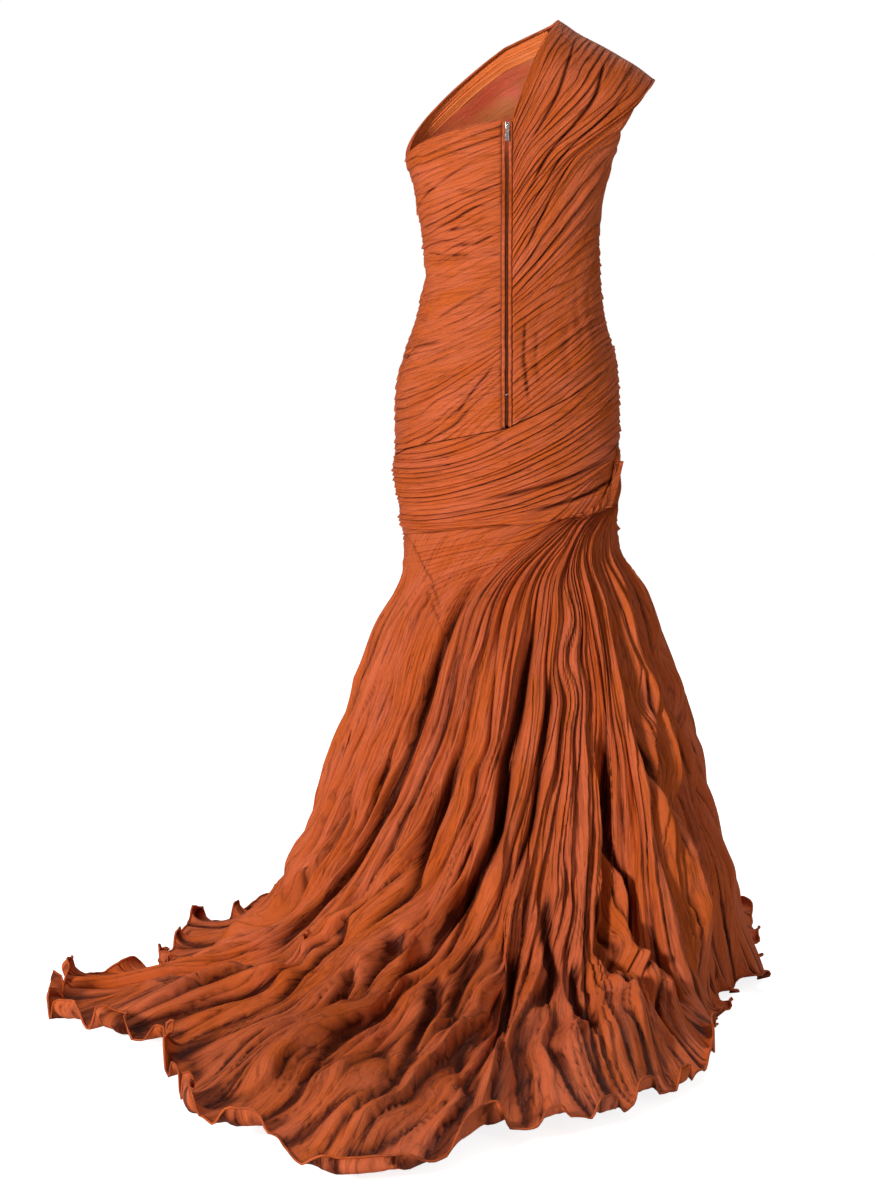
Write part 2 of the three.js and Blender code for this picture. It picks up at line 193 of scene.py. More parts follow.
def backLeftPoint(across, along):
    zipHeight = fair(leftPanel["zip"], across)
    height = mix(zipHeight, fair(leftPanel["side"], across), along)
    bow = fair(leftPanel["bow"], across) * 4 * along * (1 - along)
    return bodyPoint(1, mix(zipAngle("left", zipHeight), 90, along), height + bow + seams["lift"])


def fromShoulder(across, along):
    # the rows crowd together at the shoulder
    return mix(along, along * along, 0.7 * np.maximum(0, 1 - across / rightPanel["shoulder"]))


def backRightPoint(across, along):
    t = fromShoulder(across, along)
    zipHeight = straight(rightPanel["zip"], across)
    angle = mix(-straight(rightPanel["angle"], across), -zipAngle("right", zipHeight), t)
    bow = 24 * np.maximum(0, 1 - 4 * across) * 4 * t * (1 - t)
    height = mix(straight(rightPanel["height"], across), zipHeight, t) + seams["lift"] + bow
    return bodyPoint(1, angle, height)


def frontPoint(across, along):
    t = fromShoulder(across, along)
    angle = mix(-straight(rightPanel["angle"], across), 90, t)
    bow = -20 * np.maximum(0, 1 - 2.5 * across) * 4 * t * (1 - t) * t
    height = mix(straight(rightPanel["height"], across), straight(rightPanel["frontSide"], across), t)
    return bodyPoint(-1, angle, height + bow + seams["lift"])


def wrapPoint(side, across, along):
    angle = mix(-90, 90, along)
    height = mix(wrapTop(side, angle) - seams["lift"], wrapFoot(angle) + seams["half"], across)
    slope = wrap["slope"]
    out = wrap["out"] * np.minimum(1, np.minimum(slope * across, slope * (1 - across)))
    return bodyPoint(side, angle, height, out)


def wrapBackPoint(across, along):
    return wrapPoint(1, across, along)


def wrapFrontPoint(across, along):
    return wrapPoint(-1, across, along)


def skirtFrontPoint(across, along):
    return skirtPoint(mix(-90, 90, across), along) - np.array([0, seams["half"], 0])


# the drape's free left edge, from its head to its hem, and the head that runs up over the wrap
drape = {
    "edge": [(0, 214), (0.05, 190), (0.11, 163), (0.18, 153), (0.25, 148), (0.34, 141), (0.5, 130),
             (0.7, 119), (1, 109)],
    "lap": 10,
    "headShare": 0.1,
    "headRise": [(214, 8), (222, 26), (232, 54), (245, 92), (255, 100), (262, 70), (270, 20)],
    "headOut": [(214, 5), (230, 9), (250, 9), (260, 3), (270, -1)],
    "footOut": -1.8,
    "gather": 0.6,
    "gatherTurn": 256,
}


def edgeTurn(along, side, lap=0.0):
    edge = fair(drape["edge"], along)
    point = skirtPoint(edge, along)
    return edge + np.degrees((side * seams["half"] + lap) / np.hypot(point[..., 0], point[..., 1]))


def underPoint(across, along):
    # the panel runs on a little way under the drape
    turn = mix(90, edgeTurn(along, -1, drape["lap"]), across)
    return skirtPoint(turn, along) + np.array([0, seams["half"], 0])


def drapePoint(across, along):
    # the drape's head runs up over the wrap and is gathered at the right hip
    share = drape["headShare"]
    run = np.clip((along - share) / (1 - share), 0, 1)
    turn = mix(edgeTurn(run, 1), 270, across**0.85)
    low = skirtPoint(turn, run) + np.array([0, seams["half"], 0])
    top = np.clip(1 - along / share, 0, 1)
    gathered = mix(turn, drape["gatherTurn"], drape["gather"] * top * (turn < drape["gatherTurn"]))
    angle = np.degrees(np.arcsin(np.sin(np.radians(gathered))))
    height = wrapFoot(angle) - seams["half"] + fair(drape["headRise"], turn) * top
    out = mix(drape["footOut"], fair(drape["headOut"], turn), ease(3 * top))
    high = bodyPoint(1, angle, height, out)
    return np.where((top > 0)[..., None], high, low)


# how much of the front the facing and the lining cover, across from the neck and along from the shoulder
inside = {"facing": [(0.003, 0.1), (1 / 9, 0.996)], "lining": [(0.1008, 0.36), (1.4 / 9, 0.996)]}


def insidePoint(name, across, along):
    (first, last), (start, end) = inside[name]
    return frontPoint(mix(first, last, across), mix(start, end, along))


def facingPoint(across, along):
    return insidePoint("facing", across, along)


def liningPoint(across, along):
    return insidePoint("lining", across, along)


def chance(i, j, seed):
    # a steady number from 0 to 1 for each whole pair
    n = np.sin(i * 127.1 + j * 311.7 + seed * 74.7) * 43758.5453
    return n - np.floor(n)


def drift(x, y, seed):
    # smooth noise from -1 to 1
    i, j = np.floor(x), np.floor(y)
    u, v = ease(x - i), ease(y - j)
    low = mix(chance(i, j, seed), chance(i + 1, j, seed), u)
    high = mix(chance(i, j + 1, seed), chance(i + 1, j + 1, seed), u)
    return 2 * mix(low, high, v) - 1


def bigFolds(rows, size, across, along):
    grow = size * ease(along / 0.75)
    settle = np.minimum(1, np.minimum(14 * across, 14 * (1 - across)))
    wander = 0.3 * drift(across * 5, along * 5, 15) + 0.14 * drift(across * 13, along * 9, 16)
    wave = sum(share * np.cos(2 * np.pi * (count * across + phase + wander * (1 + 0.1 * count)))
               for count, share, phase in rows)
    return grow * settle * (0.5 + 0.5 * wave) * (1 + 0.35 * drift(across * 7, along * 5, 17))


def pleatLayer(layer, line, run, along):
    # laid pleats: each rises to a free edge and drops behind it; round ones swell between valleys
    seed, count, wander = layer["seed"], layer["count"], layer["wander"]
    bends = layer.get("bends", 1.4)
    p = count * line
    near = 0.5 * drift(p * 0.8, run * 0.8 * bends, seed)
    far = 0.7 * drift(p * 0.22 + 3, run * 1.6 * bends, seed + 1)
    p = p + wander * (near + far)
    p = p + 0.22 * wander * drift(p * 0.7 + 7, run * 5 * bends, seed + 5)
    k = np.floor(p)
    f = p - k
    size = 0.35 + 0.65 * chance(k, 3, seed)
    breaks = layer.get("breaks", 2.2)
    size = size * np.clip(0.9 + 0.75 * drift(k * 0.73 + 5, run * breaks, seed + 2), 0.08, 1.5)
    edge = layer["edge"]
    # dark is painted shade: along each valley of the round pleats, and as a thin line at each free edge and the
    # drop behind it on the laid ones
    if layer.get("form") == "round":
        form = np.sin(np.pi * np.clip(f, 0, 1)) ** layer["lean"]
        dark = np.exp(-((np.minimum(f, 1 - f) / edge) ** 2))
    else:
        form = np.minimum(f / (1 - edge), 1) ** layer["lean"] * ease((1 - f) / edge)
        dark = np.exp(-(((f - 0.985) / 0.05) ** 2)) + np.exp(-((f / 0.06) ** 2))
    share = straight(layer["share"], run) if "share" in layer else 1.0
    deep = straight(layer["deep"], along) if isinstance(layer["deep"], list) else layer["deep"]
    tone = (2 * chance(k, 9, seed) - 1) * (0.6 + 0.4 * drift(k * 1.3, run * 3, seed + 4))
    return share * deep * size * form, np.clip(size, 0, 1) * dark * share, tone


def creaseLine(crease, across, along, width, length):
    # one listed crease, through points given across and along the piece
    path = np.array(crease["path"], float)
    if crease.get("way") == "across":
        at, off = across, (along - np.interp(across, path[:, 0], path[:, 1])) * length
        low, high = path[0, 0], path[-1, 0]
    else:
        at, off = along, (across - np.interp(along, path[:, 1], path[:, 0])) * width
        low, high = path[0, 1], path[-1, 1]
    share = (at - low) / (high - low)
    taper = ease(np.minimum(share, 1 - share) * 4)
    form = np.exp(-((off / crease["wide"]) ** 2)) * taper
    return -crease["deep"] * form, form


def softened(field, reach):
    # the field averaged over its neighbours, twice, so that a hollow can be told from a ridge
    for turn in range(2):
        for axis, steps in enumerate((reach[1], reach[0])):
            before = np.repeat(np.take(field, [0], axis), steps + 1, axis)
            after = np.repeat(np.take(field, [-1], axis), steps, axis)
            total = np.cumsum(np.concatenate([before, field, after], axis), axis)
            size = field.shape[axis]
            high = np.take(total, range(2 * steps + 1, 2 * steps + 1 + size), axis)
            low = np.take(total, range(0, size), axis)
            field = (high - low) / (2 * steps + 1)
    return field


# how strongly the painted shade darkens pleat edges and hollows, and how far up from the hem the folds change,
# in mm
paintedFoldShade = {"pleats": 0.6, "hollows": 0.85, "power": 1.4}
hemRun = {"folds": 200, "kept": 0.12, "waves": 150, "waveDrift": 300, "curls": 220}
clothEdges = {}


def clothGrid(name, cut):
    # a fine flat grid with its points in rows, each from 0 to 1 across and along
    bpy.ops.object.select_all(action="DESELECT")
    bpy.ops.mesh.primitive_grid_add(x_subdivisions=cut["columns"], y_subdivisions=cut["rows"], size=1)
    piece = bpy.context.active_object
    piece.name = name
    piece.data.name = name
    flat = np.empty(len(piece.data.vertices) * 3)
    piece.data.vertices.foreach_get("co", flat)
    flat = flat.reshape(-1, 3)
    order = np.lexsort((flat[:, 0].round(7), flat[:, 1].round(7)))
    columns = len(np.unique(flat[:, 0].round(6)))
    across = np.clip((flat[order, 0] + 0.5).reshape(-1, columns), 0, 1)
    along = np.clip((flat[order, 1] + 0.5).reshape(-1, columns), 0, 1)
    along = np.clip(fair(cut.get("rowTable", [(0, 0), (1, 1)]), along), 0, 1)
    return piece, order, across, along


def surfaceWays(base):
    # the way down the cloth and the way out of it at every point, and -1 where the grid faces in
    fall = np.gradient(base, axis=0)
    fall /= np.maximum(np.linalg.norm(fall, axis=-1, keepdims=True), 1e-9)
    normal = np.cross(np.gradient(base, axis=1), fall)
    normal /= np.maximum(np.linalg.norm(normal, axis=-1, keepdims=True), 1e-9)
    row, column = base.shape[0] // 2, base.shape[1] // 2
    middle = base[row, column]
    sign = np.sign(normal[row, column] @ np.array([middle[0], middle[1], 0]))
    return fall, normal * sign, sign


def foldFlow(cut, across, along, down):
    # where each point lies across the folds, once they swing and sway on their way down
    flow = across
    for swirl in cut.get("swirls", []):
        (u, v), (spreadU, spreadV) = swirl["at"], swirl["wide"]
        window = np.exp(-(((across - u) / spreadU) ** 2) - ((along - v) / spreadV) ** 2)
        flow = flow + swirl["swing"] * window * np.sin(2 * np.pi * (along - v) / swirl["pitch"])
    for amount, wide, long, seed in cut.get("flow", []):
        settle = np.minimum(1, 10 * across * (1 - across))
        flow = flow + amount * drift(across * wide, down * long, seed) * settle
    return flow


def foldLift(cut, base, across, along, flow, stepAcross, stepAlong):
    # how far pleats, crumples and creases rise, how much painted shade lies in their edges, creases, slits and
    # hollows, and how they shift in colour
    rowWidth, columnLength = stepAcross[:, -1:], stepAlong[-1:]
    width, down = rowWidth.mean(), stepAlong / columnLength.mean()
    lift, dark, tone = np.zeros(across.shape), np.zeros(across.shape), np.zeros(across.shape)
    for layer in cut["pleats"]:
        line, run = layer["lines"](base, across, along) if "lines" in layer else (flow, down)
        more, shade, hue = pleatLayer(layer, line, run, along)
        part = layer["where"](base) if "where" in layer else 1
        lift += more * part
        dark = np.maximum(dark, shade * part * layer.get("shade", 1.0))
        tone += hue * part * layer.get("hue", 0.6)
    for size, deep, seed in cut.get("crumple", []):
        lift += deep * drift(flow * width / size[0], stepAlong / size[1], seed)
    for size, deep, seed in cut.get("crush", []):
        # sharp little ridges, as in crushed paper
        crest = 1 - 2 * np.abs(drift(flow * width / size[0], stepAlong / size[1], seed))
        lift += deep * crest * ease(along * 6)
    # painted shadow along the slits where one cloth's raised edge stands over another
    slit = 0
    for crease in cut.get("creases", []):
        more, shade = creaseLine(crease, across, along, rowWidth, columnLength)
        lift += more
        dark = np.maximum(dark, shade * crease.get("shade", 0.9))
        slit = np.maximum(slit, shade**2 * crease.get("slit", 0))
    # painted shade in the hollows: how far each point lies below its softened neighbours
    hollow = 0
    depth = straight(cut.get("hollow", [(0, 2.5)]), along)
    for reach, steps, scale in (("near", (5, 4), 1.0), ("far", (14, 8), 2.2)):
        spread = softened(lift, cut.get(reach, steps))
        hollow = np.maximum(hollow, np.clip((spread - lift) / (scale * depth), 0, 1))
    dark = dark * paintedFoldShade["pleats"] + paintedFoldShade["hollows"] * hollow ** paintedFoldShade["power"]
    return lift, np.clip(dark + slit, 0, 1), tone


def hemForm(hemCut, across, toHem, base, fall, lift):
    # towards the hem the folds run out and the edge waves and curls up
    lift = lift * (1 - (1 - hemRun["kept"]) * ease(1 - toHem / hemRun["folds"]))
    for wide, deep, seed in hemCut["waves"]:
        wave = np.clip(drift(across * wide, toHem / hemRun["waveDrift"], seed) - 0.05, 0, 1)
        lift = lift + deep * wave * ease(1 - toHem / hemRun["waves"]) ** 1.5
    sway = sum(deep * drift(across * wide, 0 * across, seed) for wide, deep, seed in hemCut["reach"])
    base = base + fall * (sway * ease(1 - toHem / hemRun["waves"]))[..., None]
    for at, wide, curled, turn in hemCut["curls"]:
        window = ease(1.5 * (1 - np.abs(across - at) / wide))
        past = np.maximum(curled - toHem, 0)
        bend = np.maximum(np.radians(turn) * window / curled, 1e-6)
        spare = curled - np.sin(np.minimum(bend * curled, np.pi / 2)) / bend
        slide = np.sin(bend * past) / bend - past + spare * ease(1 - toHem / hemRun["curls"])
        base = base + fall * slide[..., None]
        lift = lift + (1 - np.cos(bend * past)) / bend
    return base, lift


def inOrder(order, values):
    # values given row by row, put in the order of the mesh's points
    placed = np.empty((len(order), values.shape[-1]))
    placed[order] = values.reshape(len(order), -1)
    return placed


def layCloth(name, cut, place):
    # a fine grid laid on the worn form, then raised along its normals
    piece, order, across, along = clothGrid(name, cut)
    base = place(across, along)
    fall, normal, sign = surfaceWays(base)
    stepAcross = np.linalg.norm(np.diff(base, axis=1, prepend=base[:, :1]), axis=-1).cumsum(axis=1)
    stepAlong = np.linalg.norm(np.diff(base, axis=0, prepend=base[:1]), axis=-1).cumsum(axis=0)
    rowWidth, columnLength = stepAcross[:, -1:], stepAlong[-1:]
    width, length = rowWidth.mean(), columnLength.mean()

    # the pattern is measured from the head's foot, its noise in true lengths
    head = cut.get("head", 0)
    along = (along - head) / (1 - head)
    flow = foldFlow(cut, across, along, stepAlong / length)
    lift, dark, tone = foldLift(cut, base, across, along, flow, stepAcross, stepAlong)
    if "bulk" in cut:
        lift = lift + bigFolds(cut["bulk"]["rows"], cut["bulk"]["size"], across, along)
    if "centre" in cut:
        # standing cloth keeps its folds within its own line, lying cloth heaps them up
        lift = lift - straight(cut["centre"], along) * (1 - np.clip(normal[..., 2], 0, 1) ** 2)
    if "hem" in cut:
        base, lift = hemForm(cut["hem"], across, columnLength - stepAlong, base, fall, lift)
    gaps = {"first": stepAcross, "last": rowWidth - stepAcross, "start": stepAlong,
            "end": columnLength - stepAlong}
    for edge, (deep, wide) in cut.get("edges", {}).items():
        near = np.clip(gaps[edge] / wide, 0, 1)
        lift = lift * ease(near * 1.2) - deep * (1 - near) ** 2
    lift = lift + cut.get("sink", 0)
    if "hem" in cut:
        # hollows go no deeper than the floor
        room = np.maximum(base[..., 2], 1) * 0.8 / np.clip(normal[..., 2], 0.3, 1)
        lift = np.where(lift < 0, -room * np.tanh(-lift / room), lift)
    placed = (base + normal * lift[..., None] - mount) / 1000
    placed[..., 2] = np.maximum(placed[..., 2], floorLevel + floorGap)

    mesh = piece.data
    mesh.vertices.foreach_set("co", inOrder(order, placed).ravel())
    # the dark attribute carries the painted shade of pleat edges, creases, slits and hollows
    for label, values in (("tone", tone), ("dark", dark)):
        values = inOrder(order, values[..., None]).ravel()
        mesh.attributes.new(label, "FLOAT", "POINT").data.foreach_set("value", values)
    uv = inOrder(order, np.stack([flow * width, stepAlong], axis=-1)) / 1000
    corner = np.empty(len(mesh.loops), dtype=np.int64)
    mesh.loops.foreach_get("vertex_index", corner)
    mesh.uv_layers.active.data.foreach_set("uv", uv[corner].ravel())
    if sign < 0:
        mesh.flip_normals()
    mesh.update()
    bpy.ops.object.shade_smooth()
    clothEdges[name] = {"first": placed[:, 0], "last": placed[:, -1], "start": placed[0], "end": placed[-1]}
    area = sum(face.area for face in mesh.polygons)
    print("cloth", name, len(order), "points,", round(width), "x", round(length), "mm,", round(area, 3), "m2")
    return piece


# camera, light and floor
bpy.ops.object.camera_add(location=view["place"],
                          rotation=(math.radians(view["tilt"]), 0, math.radians(view["turn"])))
camera = bpy.context.active_object
camera.name = "camera"
camera.data.lens = view["lens"]
camera.data.sensor_width = 36
camera.data.clip_end = 40
bpy.context.scene.camera = camera
bpy.context.scene.view_settings.view_transform = "Standard"

studio = {"floorSize": 16, "paper": 0.9, "paperGlow": 0.85, "ambient": 0.17, "backdrop": 1.0}

# soft light from the upper left of the view, a weaker fill from the right and one from the front
lamps = {
    "keyLight": {"place": (3.4, 4.1, 0.4), "size": 1.0, "power": 234, "colour": (1.0, 0.97, 0.93)},
    "fillLight": {"place": (-2.4, 4.6, 0.6), "size": 2.4, "power": 34, "colour": (0.96, 0.98, 1.0)},
    "frontLight": {"place": (-1.0, -2.6, 3.4), "size": 2.0, "power": 80, "colour": (1.0, 0.98, 0.95)},
}
aim = Vector((0.2, 0.1, -0.7))
for name, lamp in lamps.items():
    bpy.ops.object.light_add(type="AREA", location=lamp["place"])
    light = bpy.context.active_object
    light.name = name
    light.data.shape = "DISK"
    light.data.size = lamp["size"]
    light.data.energy = lamp["power"]
    light.data.color = lamp["colour"]
    light.rotation_euler = (aim - Vector(lamp["place"])).to_track_quat("-Z", "Y").to_euler()

world = bpy.data.worlds.new("studio")
bpy.context.scene.world = world
world.use_nodes = True
backdrop = world.node_tree.nodes["Background"]
backdrop.inputs["Color"].default_value = (1.0, 1.0, 1.0, 1.0)
backdrop.inputs["Strength"].default_value = studio["ambient"]
glow = world.node_tree.nodes.new("ShaderNodeBackground")
glow.inputs["Color"].default_value = (1.0, 1.0, 1.0, 1.0)
glow.inputs["Strength"].default_value = studio["backdrop"]
rays = world.node_tree.nodes.new("ShaderNodeLightPath")
either = world.node_tree.nodes.new("ShaderNodeMixShader")
worldLinks = world.node_tree.links
worldLinks.new(rays.outputs["Is Camera Ray"], either.inputs[0])
worldLinks.new(backdrop.outputs[0], either.inputs[1])
worldLinks.new(glow.outputs[0], either.inputs[2])
worldLinks.new(either.outputs[0], world.node_tree.nodes["World Output"].inputs["Surface"])

bpy.ops.object.select_all(action="DESELECT")
bpy.ops.mesh.primitive_plane_add(size=studio["floorSize"], location=(0.2, 0, floorLevel))
floor = bpy.context.active_object
floor.name = "studioFloor"
bpy.ops.object.transform_apply(location=True, rotation=True, scale=True)
floorPaint = bpy.data.materials.new("palePaper")
floorPaint.use_nodes = True
paper = floorPaint.node_tree.nodes["Principled BSDF"]
paper.inputs["Base Color"].default_value = (studio["paper"], studio["paper"], studio["paper"], 1)
paper.inputs["Roughness"].default_value = 0.9
paper.inputs["Specular IOR Level"].default_value = 0.1
paper.inputs["Emission Color"].default_value = (1, 1, 1, 1)
floorRays = floorPaint.node_tree.nodes.new("ShaderNodeLightPath")
paperGlow = floorPaint.node_tree.nodes.new("ShaderNodeMath")
paperGlow.operation = "MULTIPLY"
paperGlow.inputs[1].default_value = studio["paperGlow"]
floorPaint.node_tree.links.new(floorRays.outputs["Is Camera Ray"], paperGlow.inputs[0])
floorPaint.node_tree.links.new(paperGlow.outputs[0], paper.inputs["Emission Strength"])
floor.data.materials.append(floorPaint)
print("camera, light and floor made")


# short ways to add a node, a sum or a mix of colours to a material
def addNode(tree, kind, **values):
    node = tree.nodes.new(kind)
    for key, value in values.items():
        setattr(node, key, value)
    return node


def mathNode(tree, operation, a, b=None, clamp=False):
    node = addNode(tree, "ShaderNodeMath", operation=operation, use_clamp=clamp)
    for slot, value in ((0, a), (1, b)):
        if value is None:
            continue
        if isinstance(value, (int, float)):
            node.inputs[slot].default_value = value
        else:
            tree.links.new(value, node.inputs[slot])
    return node.outputs[0]


def colourMix(tree, share, a, b):
    node = addNode(tree, "ShaderNodeMix", data_type="RGBA")
    tree.links.new(share, node.inputs["Factor"])
    for slot, value in (("A", a), ("B", b)):
        socket = [s for s in node.inputs if s.name == slot and s.type == "RGBA"][0]
        if isinstance(value, tuple):
            socket.default_value = value
        else:
            tree.links.new(value, socket)
    return [s for s in node.outputs if s.type == "RGBA"][0]


def streakNoise(tree, place, across, along, detail, label):
    mapping = addNode(tree, "ShaderNodeMapping", label=label)
    mapping.inputs["Scale"].default_value = (across, along, 1)
    tree.links.new(place, mapping.inputs["Vector"])
    noise = addNode(tree, "ShaderNodeTexNoise", noise_dimensions="2D", label=label)
    noise.inputs["Scale"].default_value = 1
    noise.inputs["Detail"].default_value = detail
    noise.inputs["Roughness"].default_value = 0.55
    tree.links.new(mapping.outputs[0], noise.inputs["Vector"])
    return noise.outputs["Fac"]


def creaseNet(tree, place, across, along, width, label):
    # thin wandering lines where a stretched noise crosses its middle
    field = streakNoise(tree, place, across, along, 2, label)
    gap = mathNode(tree, "ABSOLUTE", mathNode(tree, "SUBTRACT", field, 0.5))
    return mathNode(tree, "SUBTRACT", 1.0, mathNode(tree, "DIVIDE", gap, width), clamp=True)


# each noise of the cloth has its waves a metre across and along the pleats, then its detail; a net has its
# line width last
weave = {
    "noises": {"fine": (420, 20, 5), "wide": (80, 8, 4), "patch": (26, 14, 3), "crush": (150, 70, 4),
               "slub": (2200, 1000, 1)},
    "longNet": (95, 5, 0.035), "shortNet": (150, 32, 0.03),
    "toneHue": 0.6, "patchHue": 1.8, "wideHue": 1.2, "grooveFrom": 0.48, "grooveGain": 2.2,
    "longShade": 0.75, "shortShade": 0.3, "netDepth": 0.22,
    "heights": {"fine": 0.5, "wide": 1.0, "crush": 0.35, "slub": 0.03},
    "gloss": 0.45, "glossSpread": 0.2,
}


def shotTaffetaGroup():
    # the cloth's weave, creases and shot colour, with painted shade in its grooves, creases and folds, used by
    # every cloth material
    tree = bpy.data.node_groups.new("shotTaffeta", "ShaderNodeTree")
    tree.interface.new_socket("Cloth Place", in_out="INPUT", socket_type="NodeSocketVector")
    for name in ("Facet Tone", "Painted Fold Shade", "Streaks"):
        tree.interface.new_socket(name, in_out="INPUT", socket_type="NodeSocketFloat")
    for name in ("Warp", "Weft", "Painted Shade"):
        tree.interface.new_socket(name, in_out="INPUT", socket_type="NodeSocketColor")
    tree.interface.new_socket("Cloth Colour", in_out="OUTPUT", socket_type="NodeSocketColor")
    for name in ("Crease Height", "Gloss Spread"):
        tree.interface.new_socket(name, in_out="OUTPUT", socket_type="NodeSocketFloat")
    given = addNode(tree, "NodeGroupInput").outputs
    out = addNode(tree, "NodeGroupOutput").inputs
    place = given["Cloth Place"]
    noise = {name: streakNoise(tree, place, *sizes, name) for name, sizes in weave["noises"].items()}
    longNet = creaseNet(tree, place, *weave["longNet"], "long creases")
    shortNet = creaseNet(tree, place, *weave["shortNet"], "short creases")

    # the colour shifts between warp and weft from patch to patch
    hue = mathNode(tree, "MULTIPLY", given["Facet Tone"], weave["toneHue"])
    for name, gain in (("patch", weave["patchHue"]), ("wide", weave["wideHue"])):
        shift = mathNode(tree, "SUBTRACT", noise[name], 0.5)
        hue = mathNode(tree, "ADD", hue, mathNode(tree, "MULTIPLY", shift, gain))
    hue = mathNode(tree, "ADD", hue, 0.5, clamp=True)
    shot = colourMix(tree, hue, given["Warp"], given["Weft"])

    # painted shade: grooves, creases and folds darken it towards the shade colour
    grooves = mathNode(tree, "SUBTRACT", weave["grooveFrom"], noise["fine"])
    grooves = mathNode(tree, "MULTIPLY", grooves, weave["grooveGain"], clamp=True)
    nets = mathNode(tree, "ADD", mathNode(tree, "MULTIPLY", longNet, weave["longShade"]),
                    mathNode(tree, "MULTIPLY", shortNet, weave["shortShade"]))
    grooves = mathNode(tree, "MULTIPLY", mathNode(tree, "ADD", grooves, nets), given["Streaks"])
    shade = mathNode(tree, "ADD", grooves, given["Painted Fold Shade"], clamp=True)
    tree.links.new(colourMix(tree, shade, shot, given["Painted Shade"]), out["Cloth Colour"])

    height = mathNode(tree, "MULTIPLY", nets, -weave["netDepth"])
    for name, share in weave["heights"].items():
        height = mathNode(tree, "ADD", height, mathNode(tree, "MULTIPLY", noise[name], share))
    tree.links.new(height, out["Crease Height"])
    spread = mathNode(tree, "MULTIPLY", noise["crush"], weave["glossSpread"])
    tree.links.new(mathNode(tree, "ADD", spread, weave["gloss"]), out["Gloss Spread"])
    return tree


shotTaffeta = shotTaffetaGroup()


def clothMaterial(name, finish):
    material = bpy.data.materials.new(name)
    material.use_nodes = True
    tree = material.node_tree
    shader = tree.nodes["Principled BSDF"]
    place = addNode(tree, "ShaderNodeUVMap", uv_map="UVMap")
    tone = addNode(tree, "ShaderNodeAttribute", attribute_name="tone")
    dark = addNode(tree, "ShaderNodeAttribute", attribute_name="dark")
    made = addNode(tree, "ShaderNodeGroup", node_tree=shotTaffeta)
    tree.links.new(place.outputs["UV"], made.inputs["Cloth Place"])
    tree.links.new(tone.outputs["Fac"], made.inputs["Facet Tone"])
    # the painted shade of the folds, from the dark attribute, scaled by each finish
    folds = mathNode(tree, "MULTIPLY", dark.outputs["Fac"], finish["paintedFoldShade"])
    tree.links.new(folds, made.inputs["Painted Fold Shade"])
    for socket, key in (("Warp", "warp"), ("Weft", "weft"), ("Painted Shade", "deep")):
        made.inputs[socket].default_value = (*finish[key], 1)
    made.inputs["Streaks"].default_value = finish["grooveAndCreaseShade"]
    # painted sheen: towards grazing angles the colour leans to a lighter one
    rim = addNode(tree, "ShaderNodeLayerWeight")
    rim.inputs["Blend"].default_value = 0.35
    sheen = mathNode(tree, "MULTIPLY", rim.outputs["Facing"], finish["rim"])
    colour = colourMix(tree, sheen, made.outputs["Cloth Colour"], (*finish["sheenPaintColour"], 1))
    tree.links.new(colour, shader.inputs["Base Color"])
    tree.links.new(made.outputs["Gloss Spread"], shader.inputs["Roughness"])
    bump = addNode(tree, "ShaderNodeBump")
    bump.inputs["Strength"].default_value = finish["creaseStrength"]
    bump.inputs["Distance"].default_value = finish["creaseDepth"]
    tree.links.new(made.outputs["Crease Height"], bump.inputs["Height"])
    tree.links.new(bump.outputs[0], shader.inputs["Normal"])
    shader.inputs["Specular IOR Level"].default_value = finish["specular"]
    shader.inputs["Sheen Weight"].default_value = finish["sheen"]
    shader.inputs["Sheen Roughness"].default_value = 0.45
    shader.inputs["Sheen Tint"].default_value = (*finish["sheenColour"], 1)
    return material


# each finish: warp and weft are the cloth's own two colours, deep is the colour of the painted shade in folds,
# creases and grooves, and rim paints a sheen at grazing angles
finishes = {
    "rustTaffeta": {
        "warp": (0.57, 0.106, 0.017), "weft": (0.63, 0.134, 0.05), "deep": (0.05, 0.005, 0.001),
        "grooveAndCreaseShade": 0.42, "paintedFoldShade": 0.9, "rim": 0.12, "sheenPaintColour": (0.60, 0.14, 0.06),
        "creaseStrength": 0.9, "creaseDepth": 0.0026, "specular": 0.09, "sheen": 0.0,
        "sheenColour": (1.0, 0.6, 0.45),
    },
    # the facing is the same taffeta in lighter colours, painted light where the lamps light the inside of the
    # neckline
    "litFacingTaffeta": {
        "warp": (0.90, 0.20, 0.045), "weft": (0.92, 0.26, 0.08), "deep": (0.3, 0.05, 0.01),
        "grooveAndCreaseShade": 0.25, "paintedFoldShade": 0.7, "rim": 0.05, "sheenPaintColour": (0.9, 0.3, 0.15),
        "creaseStrength": 0.6, "creaseDepth": 0.002, "specular": 0.09, "sheen": 0.0,
        "sheenColour": (1.0, 0.6, 0.45),
    },
    "coralLining": {
        "warp": (0.72, 0.105, 0.044), "weft": (0.58, 0.16, 0.034), "deep": (0.26, 0.06, 0.01),
        "grooveAndCreaseShade": 0.4, "paintedFoldShade": 0.5, "rim": 0.2, "sheenPaintColour": (0.75, 0.3, 0.2),
        "creaseStrength": 0.35, "creaseDepth": 0.002, "specular": 0.5, "sheen": 0.05,
        "sheenColour": (1.0, 0.7, 0.6),
    },
}
taffeta = clothMaterial("rustTaffeta", finishes["rustTaffeta"])
facing = clothMaterial("litFacingTaffeta", finishes["litFacingTaffeta"])
satin = clothMaterial("coralLining", finishes["coralLining"])
print("cloth materials made")

# the lines that the pleats follow, as counts of the whole row: each takes the worn form's points,
# the way across and the way along, and gives the line and the run along it
hip = {"leftSide": 174, "width": 350, "top": 833, "foot": 708, "deep": 125, "hub": (-190, 850),
       "turnFrom": 0.48, "turnOver": 0.25}


